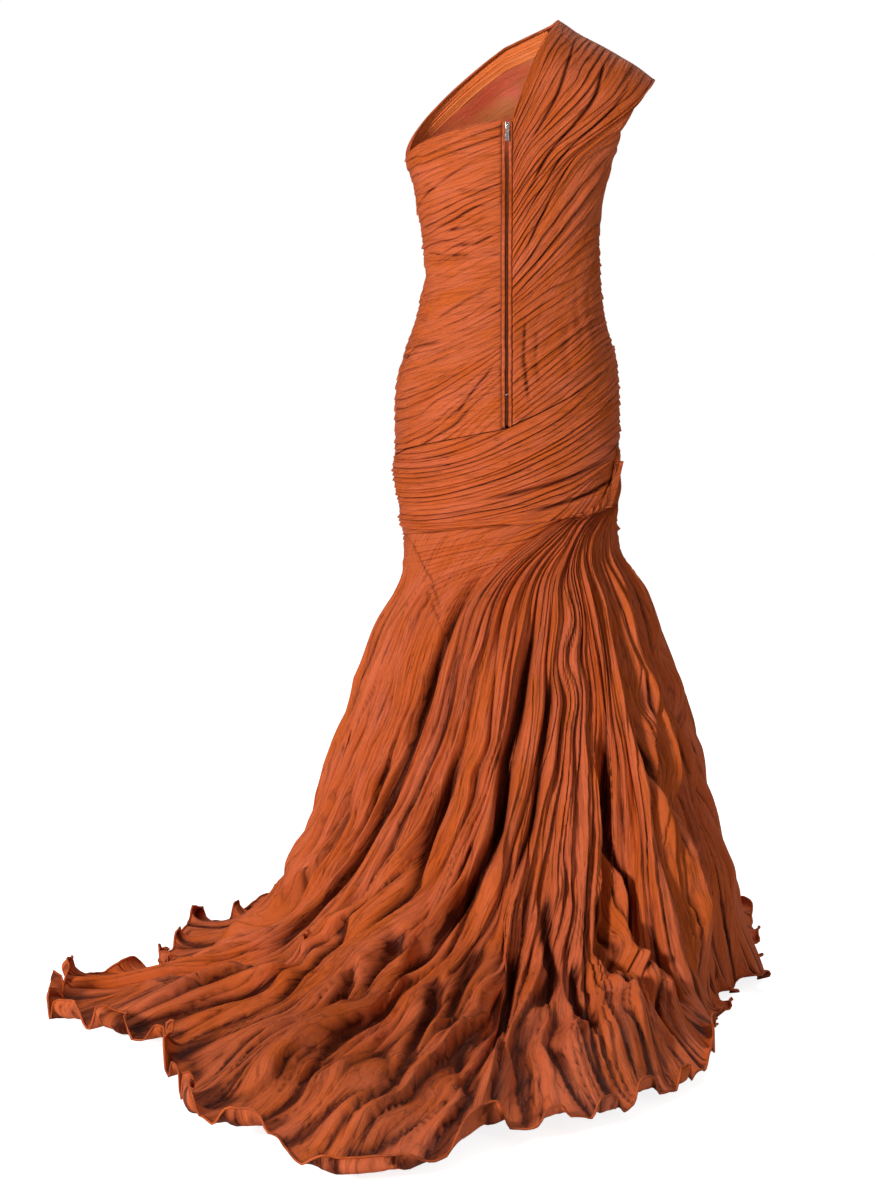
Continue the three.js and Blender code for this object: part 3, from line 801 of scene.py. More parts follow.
def wrapLines(base, across, along):
    # the hip's pleats fan out from the right hip and flatten towards the left side
    x, z = base[..., 0], base[..., 2]
    rise = np.clip((hip["leftSide"] - x) / hip["width"], 0, 1) ** 1.72
    upper = (z + 456 * rise) / (1 + 0.76 * rise)
    lower = (z - 578 * rise) / (1 - 0.7 * rise)
    level = (hip["top"] - np.where(upper > hip["foot"], upper, lower)) / hip["deep"]
    # at the right hip they turn down towards the drape, around a hub beside the body
    down = np.arctan2(hip["hub"][1] - z, x - hip["hub"][0])
    turned = ease((down - hip["turnFrom"]) / hip["turnOver"])
    return mix(level, 0.86 + 0.85 * (down - 0.6), turned), rise


def wrapFrontLines(base, across, along):
    # the same pleats come round the front, high on the right and low on the left
    x, z = base[..., 0], base[..., 2]
    right = 1 - np.clip((x + 176) / hip["width"], 0, 1)
    upper = (z + 643 * right) / (1 + 0.984 * right)
    return (hip["top"] - np.where(upper > hip["foot"], upper, z - 54 * right)) / hip["deep"], right


def leftLines(base, across, along):
    # straight lines from the zip to the side, turned up towards the zip below the waist
    x, z = base[..., 0], base[..., 2]
    share = np.clip(x / bodySize("left", z), 0, 1)
    level = z + (62 + 26 * ease((1010 - z) / 160)) * share
    level = level - 34 * ease((1120 - level) / 120) * (1 - share) ** 2
    return (1356 - level) / 470, np.arcsin(share) / (np.pi / 2)


def rightLines(base, across, along):
    # from the shoulder above the bust, straight and rising to the right below it
    x, z = base[..., 0], base[..., 2]
    share = ease((across - 0.5) / 0.25) * ease((1290 - z) / 120)
    atZip = mix(straight(rightPanel["zip"], across), z + 0.74 * np.minimum(x, 0), share)
    return np.interp(-atZip, [-1358, -1190, -1090, -891, -700], [0, 0.36, 0.57, 1, 1.41]), along


# the seam below the left hip, and the heights where the hip's pleats end and the skirt's folds begin
hipSeam = {"x": 157, "z": 728, "slope": 0.383, "soft": 3}
hipFoot = {"left": 490, "right": 600, "side": 615, "soft": 80}


def seamSide(base):
    # 1 left of the seam that runs down from the left hip, 0 right of it
    line = hipSeam["x"] - hipSeam["slope"] * (hipSeam["z"] - base[..., 2])
    return ease((base[..., 0] - line) / hipSeam["soft"] + 0.5)


def hipPart(base):
    # the hip's pleats run on below the wrap, right of the left seam
    x, z = base[..., 0], base[..., 2]
    foot = mix(hipFoot["left"], hipFoot["right"], np.clip((150 - x) / 250, 0, 1))
    foot = mix(foot, hipFoot["side"], seamSide(base))
    return ease((z - foot) / hipFoot["soft"])


def fallPart(base):
    return 1 - hipPart(base)


def satinPart(base):
    return hipPart(base) * (1 - seamSide(base))


def sidePart(base):
    return hipPart(base) * seamSide(base)


def satinLines(base, across, along):
    # flat pleats that steepen on their way down
    x, z = base[..., 0], base[..., 2]
    return (740 - z - mix(0.3, 0.85, ease((725 - z) / 110)) * (x - 160)) / 125, x / 200


def sideLines(base, across, along):
    # short pleats that rise a little towards the seam
    x, z = base[..., 0], base[..., 2]
    return (740 - z - 0.35 * (x - 160)) / 125, x / 200


def kneePart(base):
    return ease((base[..., 2] - 610) / 60)


def fromKnee(base):
    return 1 - kneePart(base)


def laidPleats(count, deep, edge, seed, **more):
    return {"count": count, "deep": deep, "edge": edge, "lean": 0.85, "wander": 0.9, "seed": seed, **more}


def finePleats(count, deep, seed, **more):
    return {"count": count, "deep": deep, "edge": 0.3, "lean": 0.8, "wander": 1.2, "seed": seed,
            "shade": 0.5, "hue": 0.3, **more}


def creaseAt(path, deep, wide, **more):
    return {"path": path, "deep": deep, "wide": wide, **more}


# one dictionary for each cloth: pleats by their number across, sizes in millimetres, flat sizes in metres
backBodiceLeft = {
    "columns": 450, "rows": 92,
    "pleats": [
        laidPleats(40, 2.9, 0.15, 1, lines=leftLines),
        finePleats(88, 0.8, 5, lines=leftLines),
    ],
    "crumple": [((16, 38), 0.6, 31), ((40, 50), 1.4, 32)],
    "creases": [
        creaseAt([(0.30, 0.06), (0.33, 0.3), (0.33, 0.5)], 2.6, 3, shade=0.45),
        creaseAt([(0.25, 0.1), (0.29, 0.35), (0.31, 0.62)], 2.2, 3, shade=0.45),
        creaseAt([(0.37, 0.04), (0.39, 0.2), (0.39, 0.4)], 2.6, 3, shade=0.45),
        creaseAt([(0.43, 0.2), (0.42, 0.45), (0.44, 0.7)], 2.0, 3, shade=0.45),
        creaseAt([(0.53, 0.03), (0.56, 0.3), (0.6, 0.6)], 2.0, 3, shade=0.45),
        creaseAt([(0.66, 0.4), (0.65, 0.7), (0.69, 0.95)], 2.4, 3, shade=0.45),
        creaseAt([(0.1, 0.05), (0.15, 0.45), (0.19, 0.9)], 2.2, 2.5, shade=0.45),
        creaseAt([(0.78, 0.03), (0.84, 0.16), (0.93, 0.3)], 2.6, 3.5, shade=0.45),
    ],
    "edges": {"first": (5, 4), "start": (1.0, 4), "end": (1.2, 3)},
    "sink": -1.6,
    "flat": (0.56, 0.22),
}
backBodiceRight = {
    "columns": 470, "rows": 100,
    "pleats": [
        laidPleats(40, 3.4, 0.15, 11, lines=rightLines),
        finePleats(88, 1.1, 15, share=[(0, 1.2), (0.5, 0.6), (1, 1.3)], lines=rightLines),
    ],
    "creases": [
        creaseAt([(0.66, 0.91), (0.8, 0.93), (0.97, 0.9)], 2.0, 3, way="across", shade=0.7),
        creaseAt([(0.72, 0.84), (0.84, 0.86), (0.93, 0.83)], 1.3, 4, way="across", shade=0.3),
        creaseAt([(0.76, 0.62), (0.86, 0.66), (0.97, 0.64)], 1.0, 9, way="across", shade=0.1),
        creaseAt([(0.7, 0.5), (0.8, 0.53), (0.92, 0.52)], 1.0, 9, way="across", shade=0.1),
        creaseAt([(0.74, 0.36), (0.84, 0.4), (0.94, 0.38)], 0.8, 9, way="across", shade=0.05),
        creaseAt([(0.2, 0.1), (0.26, 0.4), (0.33, 0.9)], 4.5, 5),
        creaseAt([(0.3, 0.1), (0.34, 0.5), (0.4, 0.95)], 4.0, 4),
        creaseAt([(0.1, 0.1), (0.14, 0.5), (0.2, 0.9)], 3.5, 4),
        creaseAt([(0.44, 0.25), (0.47, 0.6), (0.5, 0.9)], 3.5, 4),
    ],
    "crumple": [((18, 40), 0.6, 33), ((42, 60), 1.4, 34)],
    "edges": {"first": (4, 4), "start": (0.6, 26), "end": (1.0, 4)},
    "sink": -1.6,
    "flat": (0.62, 0.26),
}
frontBodice = {
    "columns": 400, "rows": 92,
    "pleats": [
        laidPleats(40, 3.2, 0.15, 21),
        finePleats(88, 0.9, 25),
    ],
    "crumple": [((20, 44), 0.6, 35), ((50, 60), 1.4, 36)],
    "edges": {"first": (6, 7), "start": (0.6, 26), "end": (1.2, 3)},
    "sink": -1.6,
    "flat": (0.6, 0.44),
}
hipWrapBack = {
    "columns": 240, "rows": 200,
    "pleats": [
        laidPleats(17, 4.2, 0.17, 41, bends=1.2, lines=wrapLines),
        finePleats(41, 1.2, 45, lines=wrapLines),
    ],
    "crumple": [((18, 36), 0.7, 37), ((40, 60), 1.4, 38)],
    "creases": [
        creaseAt([(0.62, 0.1), (0.66, 0.3), (0.7, 0.6)], 4, 4),
        creaseAt([(0.78, 0.08), (0.84, 0.25), (0.9, 0.45)], 5, 4),
    ],
    "edges": {"first": (0.5, 3), "start": (1.0, 3), "end": (1.0, 3)},
    "sink": -1.6,
    "flat": (0.24, 0.5),
}
hipWrapFront = {
    "columns": 200, "rows": 120,
    "pleats": [
        laidPleats(17, 4.0, 0.18, 51, lines=wrapFrontLines),
        finePleats(41, 1.1, 55, lines=wrapFrontLines),
    ],
    "crumple": [((18, 36), 0.7, 39), ((40, 60), 1.4, 40)],
    "edges": {"first": (0.5, 3), "start": (1.0, 3), "end": (1.0, 3)},
    "sink": -1.6,
    "flat": (0.24, 0.5),
}
skirtBulk = {"size": 34, "rows": [(5, 0.4, 0.1), (9, 0.35, 0.62), (15, 0.25, 0.3)]}
skirtFront = {
    "columns": 380, "rows": 160, "hollow": [(0, 6), (0.5, 5.5), (1, 5)], "near": (4, 3), "far": (12, 8),
    "rowTable": [(0, 0), (0.12, 0.1), (0.5, 0.5), (0.78, 0.86), (0.9, 0.965), (1, 1)],
    "bulk": skirtBulk,
    "pleats": [
        {"count": 24, "deep": [(0, 2), (0.3, 9), (1, 20)], "edge": 0.06, "lean": 0.7, "wander": 1.0,
         "seed": 61, "form": "round", "where": fromKnee},
        {"count": 56, "deep": [(0, 1), (0.3, 4), (1, 7)], "edge": 0.2, "lean": 0.8, "wander": 1.1, "seed": 65,
         "shade": 0.7, "hue": 0.4, "where": fromKnee},
    ] + [{**layer, "where": kneePart} for layer in hipWrapFront["pleats"]],
    "flow": [(0.012, 8, 4, 68), (0.006, 20, 9, 69)],
    "crumple": [((22, 90), 1.2, 66), ((60, 120), 3, 67)],
    "crush": [((26, 100), 2.6, 161), ((60, 180), 6, 162)],
    "centre": [(0, 0), (0.3, 8), (1, 16)],
    "hem": {"waves": [(26, 12, 601), (60, 7, 602)], "reach": [(30, 8, 603), (70, 5, 604)],
            "curls": [
                (0.05, 0.014, 26, 90), (0.13, 0.025, 30, 150), (0.22, 0.02, 26, 90), (0.31, 0.03, 30, 140),
                (0.42, 0.02, 30, 100), (0.53, 0.03, 34, 150), (0.61, 0.02, 30, 90), (0.683, 0.014, 50, 80),
                (0.74, 0.016, 24, 130), (0.817, 0.014, 44, 80), (0.88, 0.02, 34, 170), (0.945, 0.012, 36, 90)]},
    "edges": {"first": (0.5, 5), "last": (0.5, 5)},
    "flat": (1.2, 0.9),
}
skirtBackLeft = {
    "columns": 300, "rows": 300, "hollow": [(0, 7), (0.5, 6), (1, 4.4)], "near": (5, 4), "far": (14, 9),
    "rowTable": [(0, 0), (0.45, 0.17), (0.6, 0.35), (0.76, 0.72), (0.9, 0.965), (1, 1)],
    "bulk": skirtBulk,
    "pleats": [
        {"count": 12, "deep": [(0, 3), (0.2, 10), (0.4, 15), (1, 22)], "edge": 0.06, "lean": 0.7,
         "wander": 1.0, "seed": 71, "form": "round", "where": fallPart},
        {"count": 30, "deep": [(0, 2), (0.2, 5), (1, 7)], "edge": 0.2, "lean": 0.8, "wander": 1.1, "seed": 75,
         "shade": 0.7, "hue": 0.4, "where": fallPart},
        {"count": 12, "deep": 3.6, "edge": 0.14, "lean": 0.8, "wander": 0.8, "seed": 41, "lines": satinLines,
         "where": satinPart},
        {"count": 22, "deep": 1.9, "edge": 0.25, "lean": 0.8, "wander": 0.5, "seed": 77, "lines": sideLines,
         "shade": 0.8, "where": sidePart},
    ],
    "flow": [(0.03, 4, 5, 78), (0.012, 10, 12, 79)],
    "crumple": [((22, 90), 0.8, 76), ((60, 120), 2, 77)],
    "crush": [((18, 70), 1.6, 171), ((40, 110), 3, 173), ((60, 180), 5, 172)],
    "creases": [
        creaseAt([(0.06, 0.0), (0.43, 0.08), (0.84, 0.14)], 1.4, 1.6, way="across", shade=0.8),
        creaseAt([(0.88, 0.04), (0.91, 0.2), (0.93, 0.45), (0.94, 0.8)], 24, 8, slit=1.2),
        creaseAt([(0.55, 0.3), (0.6, 0.42), (0.62, 0.55), (0.66, 0.7)], 20, 9),
        creaseAt([(0.3, 0.35), (0.33, 0.5), (0.38, 0.66), (0.4, 0.8)], 18, 9),
        creaseAt([(0.8, 0.28), (0.84, 0.4), (0.86, 0.55)], 16, 7),
        creaseAt([(0.72, 0.62), (0.78, 0.76), (0.84, 0.9)], 26, 9, slit=0.6),
        creaseAt([(0.4, 0.6), (0.46, 0.76), (0.5, 0.92)], 22, 8, slit=0.4),
    ],
    "centre": [(0, 0), (0.3, 8), (1, 16)],
    "hem": {"waves": [(8, 16, 701), (20, 9, 702)], "reach": [(10, 10, 703), (22, 7, 704)],
            "curls": [
                (0.15, 0.1, 34, 130), (0.42, 0.08, 40, 190), (0.66, 0.08, 30, 90), (0.9, 0.09, 40, 150)]},
    "edges": {"first": (0.5, 5), "last": (14, 28)},
    "flat": (0.45, 1.0),
}
skirtDrape = {
    "columns": 500, "rows": 198, "head": drape["headShare"], "hollow": [(0, 7.5), (0.45, 6.5), (1, 4.2)],
    "near": (4, 3), "far": (12, 8),
    "rowTable": [(0, 0), (0.1, 0.1), (0.22, 0.2), (0.42, 0.42), (0.66, 0.75), (0.84, 0.95), (0.92, 0.985),
                 (1, 1)],
    "bulk": {"size": 50, "rows": [(6.5, 0.45, 0.4), (11, 0.35, 0.15), (18, 0.2, 0.7)]},
    "pleats": [
        {"count": 21, "deep": [(-0.1, 0.6), (-0.06, 3), (0, 7), (0.1, 12), (0.4, 24), (1, 30)],
         "edge": 0.05, "lean": 0.6, "wander": 1.0, "seed": 81, "bends": 1.6, "form": "round",
         "breaks": 1.2},
        {"count": 50, "deep": [(-0.1, 0.4), (-0.05, 1.2), (0, 3), (0.1, 6), (0.4, 11), (1, 20)],
         "edge": 0.1, "lean": 0.95, "wander": 1.2, "seed": 83, "bends": 2, "shade": 0.9, "breaks": 1.4},
        {"count": 88, "deep": [(0, 0.8), (0.3, 3.2), (1, 8)], "edge": 0.14, "lean": 0.95, "wander": 1.3,
         "seed": 85, "shade": 0.6, "hue": 0.3, "bends": 2},
    ],
    "flow": [(0.014, 9, 5, 88), (0.007, 22, 11, 89)],
    "swirls": [
        {"at": (0.4, 0.17), "wide": (0.06, 0.08), "swing": 0.02, "pitch": 0.1},
        {"at": (0.55, 0.3), "wide": (0.06, 0.1), "swing": 0.008, "pitch": 0.18},
        {"at": (0.14, 0.3), "wide": (0.05, 0.06), "swing": 0.007, "pitch": 0.09},
    ],
    "crumple": [((20, 60), 1.4, 86), ((60, 110), 2.6, 87)],
    "crush": [((22, 150), 2.8, 181), ((46, 260), 5, 182), ((90, 380), 5, 183)],
    "creases": [
        creaseAt([(0.012, 0.02), (0.012, 0.3), (0.016, 0.7)], -13, 9, shade=0),
        creaseAt([(0.03, 0.05), (0.034, 0.3), (0.04, 0.7)], 7, 5, shade=0.9),
        creaseAt([(0.27, 0.1), (0.24, 0.22), (0.22, 0.3), (0.24, 0.4), (0.22, 0.52), (0.22, 0.66)], 34, 10,
                 slit=0.5),
        creaseAt([(0.34, 0.16), (0.32, 0.28), (0.31, 0.38), (0.29, 0.5)], 20, 7),
        creaseAt([(0.36, 0.48), (0.37, 0.6), (0.39, 0.7), (0.38, 0.84)], 28, 10),
        creaseAt([(0.49, 0.26), (0.5, 0.42), (0.53, 0.52), (0.55, 0.66)], 24, 8),
        creaseAt([(0.1, 0.26), (0.1, 0.4), (0.13, 0.5), (0.12, 0.64)], 20, 8),
        creaseAt([(0.05, 0.42), (0.04, 0.56), (0.05, 0.72)], 24, 9),
        creaseAt([(0.62, 0.3), (0.64, 0.5), (0.66, 0.7)], 20, 8),
        creaseAt([(0.16, 0.58), (0.19, 0.7), (0.22, 0.86)], 24, 12),
        creaseAt([(0.28, 0.6), (0.29, 0.74), (0.31, 0.88)], 22, 12),
        creaseAt([(0.46, 0.5), (0.46, 0.66), (0.47, 0.8)], 20, 9),
        creaseAt([(0.76, 0.3), (0.76, 0.5), (0.75, 0.72)], 14, 8),
        creaseAt([(0.88, 0.35), (0.87, 0.55), (0.88, 0.76)], 14, 9),
        creaseAt([(0.03, 0.55), (0.045, 0.7), (0.06, 0.88)], 28, 9, slit=0.6),
        creaseAt([(0.085, 0.58), (0.1, 0.72), (0.12, 0.9)], 26, 8, slit=0.5),
        creaseAt([(0.16, 0.7), (0.19, 0.82), (0.21, 0.94)], 24, 8, slit=0.4),
        creaseAt([(0.25, 0.68), (0.28, 0.8), (0.3, 0.94)], 24, 7, slit=0.4),
        creaseAt([(0.33, 0.62), (0.345, 0.76), (0.35, 0.9)], 26, 8, slit=0.5),
        creaseAt([(0.42, 0.66), (0.42, 0.8), (0.44, 0.93)], 22, 8, slit=0.3),
        creaseAt([(0.5, 0.72), (0.51, 0.84), (0.5, 0.95)], 20, 7, slit=0.3),
    ],
    "centre": [(0, 0), (0.05, 6), (0.1, 16), (0.3, 32), (1, 36)],
    "hem": {"waves": [(22, 20, 801), (52, 11, 802)], "reach": [(26, 12, 803), (60, 8, 804)],
            "curls": [
                (0.02, 0.018, 62, 240), (0.052, 0.014, 44, 130), (0.08, 0.012, 52, 190), (0.107, 0.01, 44, 80),
                (0.138, 0.016, 56, 170), (0.174, 0.01, 50, 70), (0.212, 0.018, 60, 210), (0.25, 0.012, 44, 100),
                (0.315, 0.028, 34, 165), (0.36, 0.014, 50, 140), (0.397, 0.009, 40, 60), (0.43, 0.012, 36, 120),
                (0.462, 0.012, 44, 90), (0.5, 0.01, 36, 160), (0.545, 0.016, 34, 80), (0.58, 0.012, 40, 130),
                (0.66, 0.02, 34, 110), (0.74, 0.016, 40, 150), (0.82, 0.02, 36, 90), (0.9, 0.016, 40, 140)]},
    "edges": {"first": (4, 6), "last": (0.5, 5), "start": (12, 22)},
    "flat": (1.5, 1.2),
}
necklineFacing = {
    "columns": 70, "rows": 90, "sink": -5.2, "edges": {"first": (-3.4, 12)},
    "pleats": [{"count": 4, "deep": 1.6, "edge": 0.3, "lean": 0.8, "wander": 0.9, "seed": 91}],
    "flat": (0.036, 0.36),
}
frontLining = {
    "columns": 60, "rows": 60, "sink": -5.2,
    "pleats": [{"count": 3, "deep": 0.8, "edge": 0.5, "lean": 0.8, "wander": 0.9, "seed": 92, "shade": 0.2}],
    "crumple": [((30, 60), 2.0, 93), ((60, 40), 2.5, 94)],
    "flat": (0.115, 0.3),
}
gownCloth = [
    ("backBodiceLeft", backBodiceLeft, backLeftPoint, "back_bodice_left", taffeta, "stretched"),
    ("backBodiceRight", backBodiceRight, backRightPoint, "back_bodice_right", taffeta, "stretched"),
    ("frontBodice", frontBodice, frontPoint, "front_bodice", taffeta, "stretched"),
    ("hipWrapBack", hipWrapBack, wrapBackPoint, "hip_wrap_back", taffeta, "stretched"),
    ("hipWrapFront", hipWrapFront, wrapFrontPoint, "hip_wrap_front", taffeta, "stretched"),
    ("skirtFront", skirtFront, skirtFrontPoint, "skirt_front", taffeta, "gathered"),
    ("skirtBackLeft", skirtBackLeft, underPoint, "skirt_back_left", taffeta, "gathered"),
    ("skirtDrape", skirtDrape, drapePoint, "skirt_drape", taffeta, "gathered"),
    ("necklineFacing", necklineFacing, facingPoint, "neckline_facing", facing, "stretched"),
    ("frontLining", frontLining, liningPoint, "front_lining", satin, "stretched"),
]
cloths, trims = {}, {}
for name, cut, place, node, material, held in gownCloth:
    piece = layCloth(name, cut, place)
    piece.data.materials.append(material)
    cloths[name] = piece
    trims[name] = []


def tubeMesh(name, line, ring, closed=True):
    # a tube with the given cross-section at every point of a line
    count, sides = len(line), len(ring[0])
    points = np.array([[centre + corner for corner in corners] for centre, corners in zip(line, ring)])
    faces = []
    for low in range(0, (count - 1) * sides, sides):
        for k in range(sides):
            after = (k + 1) % sides
            faces.append((low + k, low + after, low + sides + after, low + sides + k))
    if closed:
        faces += [tuple(range(sides))[::-1], tuple(range((count - 1) * sides, count * sides))]
    mesh = bpy.data.meshes.new(name)
    mesh.from_pydata(points.reshape(-1, 3).tolist(), [], faces)
    run = np.concatenate([[0], np.linalg.norm(np.diff(line, axis=0), axis=-1).cumsum()])
    uv = np.stack([np.tile(np.arange(sides) * 0.001, count), np.repeat(run, sides)], axis=-1)
    layer = mesh.uv_layers.new(name="UVMap")
    corner = np.empty(len(mesh.loops), dtype=np.int64)
    mesh.loops.foreach_get("vertex_index", corner)
    layer.data.foreach_set("uv", uv[corner].ravel())
    # the dark attribute paints a steady shade along the roll, with bands every few millimetres, through the
    # same painted shade as the folds
    for label, value in (("tone", np.repeat(0.5 * np.sin(run * 40), sides)),
                         ("dark", np.repeat(0.18 + 0.14 * np.sin(run * 1500), sides))):
        mesh.attributes.new(label, "FLOAT", "POINT").data.foreach_set("value", value)
    mesh.shade_smooth()
    piece = bpy.data.objects.new(name, mesh)
    bpy.context.collection.objects.link(piece)
    return piece


hemRoll = {"radius": 0.0017, "sides": 6}


def rolledEdge(name, cloth, edge, radius=hemRoll["radius"], start=0, end=None):
    # the narrow rolled and stitched edge along one side of a cloth
    line = clothEdges[cloth][edge][start:end]
    way = np.gradient(line, axis=0)
    way /= np.maximum(np.linalg.norm(way, axis=-1, keepdims=True), 1e-9)
    side = np.cross(way, [0, 0, 1])
    side /= np.maximum(np.linalg.norm(side, axis=-1, keepdims=True), 1e-9)
    up = np.cross(side, way)
    turns = 2 * np.pi * np.arange(hemRoll["sides"]) / hemRoll["sides"]
    ring = [[radius * (math.cos(t) * a + math.sin(t) * b) for t in turns] for a, b in zip(side, up)]
    piece = tubeMesh(name, line + [0, 0, radius * 0.6], ring)
    piece.data.materials.append(taffeta)
    trims[cloth].append(piece)
    return piece


rolledEdge("hemRollFront", "skirtFront", "end")
rolledEdge("hemRollLeft", "skirtBackLeft", "end")
rolledEdge("hemRollDrape", "skirtDrape", "end")
rolledEdge("neckRollFront", "frontBodice", "first", 0.002)
print("rolled edges laid")

# the zip's sizes in millimetres: across from its middle, out from the body, heights above the floor
zipLine = -mount[0]
zipLips = {"top": 1352, "foot": 889, "from": 2.4, "to": 7.7, "low": -2.1, "high": 1.3, "rings": 150,
           "sides": 12, "square": 0.7}
zipTeeth = {"top": 1340, "foot": 889, "pitch": 1.3, "block": (3.2, 1.5, 0.8), "bevel": 0.25, "out": -2.3}
zipSlider = {"height": 1346, "plate": (6.4, 2.0, 10.6), "plateOut": 3.1, "plateBevel": 0.7, "rim": 0.7,
             "dip": 0.3, "shoulder": (2.0, 2.2, 3.2), "shoulderAside": 2.1, "shoulderOut": 1.5,
             "shoulderUp": 3.4, "shoulderBevel": 0.4, "bridgeBevel": 0.3,
             "bridge": [((1.7, 1.9, 1.2), 4.9, 2.4), ((1.7, 0.9, 6.4), 5.75, -0.6),
                        ((1.7, 1.9, 1.0), 4.9, -3.5)]}
zipPull = {"height": 1344.4, "y": 112.09, "barRadius": 0.55, "barLength": 4.8, "arm": (0.9, 0.9, 6.6),
           "armAside": 1.9, "armDown": 3, "armBevel": 0.25, "tab": (4.8, 0.9, 15.8), "tabDown": 13.6,
           "tabBevel": 0.35, "rim": 0.8, "dip": 0.2}


def zipPlace(x, y, height):
    # a point beside the zip's middle line, in the part's metres
    back = bodyPoint(1, 0 * np.asarray(height, float), np.asarray(height, float))[..., 1]
    return (np.stack([x + 0 * back, y + back, height + 0 * back], axis=-1) - mount) / 1000


def zipLip(name, side, cloth):
    # a rolled lip of cloth with a squarish cross-section
    heights = np.linspace(zipLips["top"], zipLips["foot"], zipLips["rings"])
    wave = 0.25 * drift(heights / 17, 0 * heights, 5 if side > 0 else 6)
    middle = (zipLips["from"] + zipLips["to"]) / 2
    line = zipPlace(side * middle + wave, (zipLips["low"] + zipLips["high"]) / 2, heights)
    half = (zipLips["to"] - zipLips["from"]) / 2000
    thick = (zipLips["high"] - zipLips["low"]) / 2000
    corners = []
    for t in 2 * np.pi * (np.arange(zipLips["sides"]) + 0.5) / zipLips["sides"]:
        x, y = math.cos(t), math.sin(t)
        corners.append(np.array([half * math.copysign(abs(x) ** zipLips["square"], x),
                                 thick * math.copysign(abs(y) ** zipLips["square"], y), 0]))
    piece = tubeMesh(name, line, [corners] * len(line))
    piece.data.materials.append(taffeta)
    trims[cloth].append(piece)
    return piece


leftLip = zipLip("zipLipLeft", 1, "backBodiceLeft")
rightLip = zipLip("zipLipRight", -1, "backBodiceRight")
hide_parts("zip_lip_left")
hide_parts("zip_lip_right")


def block(name, centre, sides, bevel=0.0, steps=1):
    # a cuboid with bevelled edges, in millimetres
    bpy.ops.object.select_all(action="DESELECT")
    bpy.ops.mesh.primitive_cube_add(size=1, location=[c / 1000 for c in centre])
    piece = bpy.context.active_object
    piece.name = name
    piece.scale = [s / 1000 for s in sides]
    bpy.ops.object.transform_apply(location=True, rotation=True, scale=True)
    if bevel:
        bpy.ops.object.mode_set(mode="EDIT")
        bpy.ops.mesh.select_all(action="SELECT")
        bpy.ops.mesh.bevel(offset=bevel / 1000, segments=steps, affect="EDGES")
        bpy.ops.object.mode_set(mode="OBJECT")
    return piece


def joined(name, parts):
    bpy.ops.object.select_all(action="DESELECT")
    for part in parts:
        part.select_set(True)
    bpy.context.view_layer.objects.active = parts[0]
    bpy.ops.object.join()
    piece = bpy.context.active_object
    piece.name = name
    piece.data.name = name
    return piece


def scuffedMaterial(name, metal):
    material = bpy.data.materials.new(name)
    material.use_nodes = True
    tree = material.node_tree
    shader = tree.nodes["Principled BSDF"]
    place = addNode(tree, "ShaderNodeTexCoord")
    scuff = addNode(tree, "ShaderNodeTexNoise")
    scuff.inputs["Scale"].default_value = metal["scuffs"]
    scuff.inputs["Detail"].default_value = 5
    tree.links.new(place.outputs["Object"], scuff.inputs["Vector"])
    rough = mathNode(tree, "ADD", mathNode(tree, "MULTIPLY", scuff.outputs["Fac"], 0.25), metal["rough"])
    tree.links.new(rough, shader.inputs["Roughness"])
    tree.links.new(colourMix(tree, scuff.outputs["Fac"], (*metal["dark"], 1), (*metal["light"], 1)),
                   shader.inputs["Base Color"])
    shader.inputs["Metallic"].default_value = metal["metallic"]
    return material


silver = scuffedMaterial("silverMetal", {"scuffs": 900, "rough": 0.12, "metallic": 1.0,
                                       "dark": (0.5, 0.49, 0.47), "light": (0.85, 0.84, 0.82)})
tapeCloth = scuffedMaterial("zipTape", {"scuffs": 1400, "rough": 0.6, "metallic": 0.0,
                                      "dark": (0.10, 0.018, 0.006), "light": (0.26, 0.05, 0.016)})

# one tooth, copied down the tape and set back onto the line of the zip
teeth = block("zipTeeth", (zipLine, 0, zipTeeth["top"] - mount[2]), zipTeeth["block"], zipTeeth["bevel"])
row = teeth.modifiers.new("row", "ARRAY")
row.count = int((zipTeeth["top"] - zipTeeth["foot"]) / zipTeeth["pitch"])
row.use_relative_offset = False
row.use_constant_offset = True
row.constant_offset_displace = (0, 0, -zipTeeth["pitch"] / 1000)
bpy.ops.object.modifier_apply(modifier="row")
co = np.empty(len(teeth.data.vertices) * 3)
teeth.data.vertices.foreach_get("co", co)
co = co.reshape(-1, 3)
co[:, 1] += zipPlace(0, zipTeeth["out"], co[:, 2] * 1000 + mount[2])[:, 1]
teeth.data.vertices.foreach_set("co", co.ravel())
teeth.data.update()
teeth.data.materials.append(tapeCloth)
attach(teeth, "gown")
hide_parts("zip_coil")


def sunkFaces(piece, chosen, rim, dip):
    # insets the faces whose normals are chosen and sets them back a little
    bpy.ops.object.mode_set(mode="EDIT")
    bpy.ops.mesh.select_all(action="DESELECT")
    bpy.ops.object.mode_set(mode="OBJECT")
    for face in piece.data.polygons:
        face.select = chosen(face.normal)
    bpy.ops.object.mode_set(mode="EDIT")
    bpy.ops.mesh.inset(thickness=rim / 1000, depth=-dip / 1000, use_individual=True)
    bpy.ops.object.mode_set(mode="OBJECT")


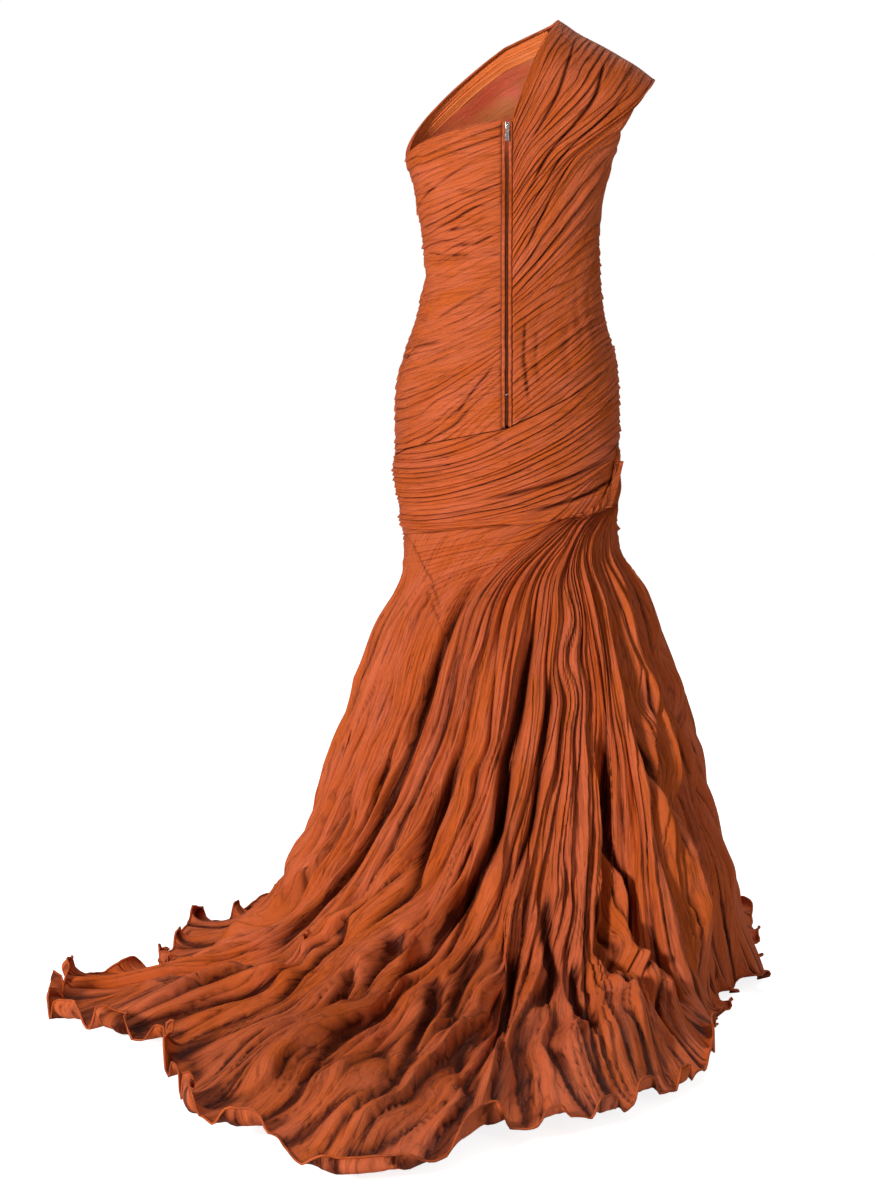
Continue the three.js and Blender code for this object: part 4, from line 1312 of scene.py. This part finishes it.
# the slider: a plate with two shoulders under a bridge
sliderY = zipPlace(0, 0, zipSlider["height"])[1] * 1000
sliderZ = zipSlider["height"] - mount[2]
plate = block("zipSlider", (zipLine, sliderY + zipSlider["plateOut"], sliderZ), zipSlider["plate"],
              zipSlider["plateBevel"], 3)
sunkFaces(plate, lambda normal: normal.y > 0.99, zipSlider["rim"], zipSlider["dip"])
shoulders = []
for side in (-1, 1):
    centre = (zipLine + side * zipSlider["shoulderAside"], sliderY + zipSlider["shoulderOut"],
              sliderZ + zipSlider["shoulderUp"])
    shoulders.append(block("shoulder", centre, zipSlider["shoulder"], zipSlider["shoulderBevel"], 2))
bridge = [block("bridge", (zipLine, sliderY + out, sliderZ + up), sides, zipSlider["bridgeBevel"], 2)
          for sides, out, up in zipSlider["bridge"]]
slider = joined("zipSlider", [plate] + shoulders + bridge)

# the pull hangs from a round bar under the bridge
pullY, pullZ = zipPull["y"], zipPull["height"] - mount[2]
bpy.ops.object.select_all(action="DESELECT")
bpy.ops.mesh.primitive_cylinder_add(
    vertices=20, radius=zipPull["barRadius"] / 1000, depth=zipPull["barLength"] / 1000,
    location=(zipLine / 1000, pullY / 1000, pullZ / 1000), rotation=(0, math.pi / 2, 0))
bar = bpy.context.active_object
bpy.ops.object.transform_apply(location=True, rotation=True, scale=True)
arms = [block("arm", (zipLine + side * zipPull["armAside"], pullY, pullZ - zipPull["armDown"]),
              zipPull["arm"], zipPull["armBevel"], 2) for side in (-1, 1)]
tab = block("tab", (zipLine, pullY, pullZ - zipPull["tabDown"]), zipPull["tab"], zipPull["tabBevel"], 3)
sunkFaces(tab, lambda normal: True, zipPull["rim"], zipPull["dip"])
pull = joined("zipPull", [tab, bar] + arms)
for piece, node, rider in ((slider, "zip_slider", "gown"), (pull, "zip_pull", "zip_pull")):
    piece.data.materials.append(silver)
    for face in piece.data.polygons:
        face.use_smooth = abs(face.normal.y) < 0.99
    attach(piece, rider)
    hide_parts(node)
for node in ("zip_tape_left", "zip_tape_right"):
    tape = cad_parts[node]
    tape.data.materials.clear()
    tape.data.materials.append(tapeCloth)
print("zip made")

for name, cut, place, node, material, held in gownCloth:
    piece = cloths[name]
    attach(piece, "gown")
    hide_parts(node)
    for trim in trims[name]:
        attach(trim, "gown")
bpy.context.view_layer.update()
print("all pieces on their bodies")
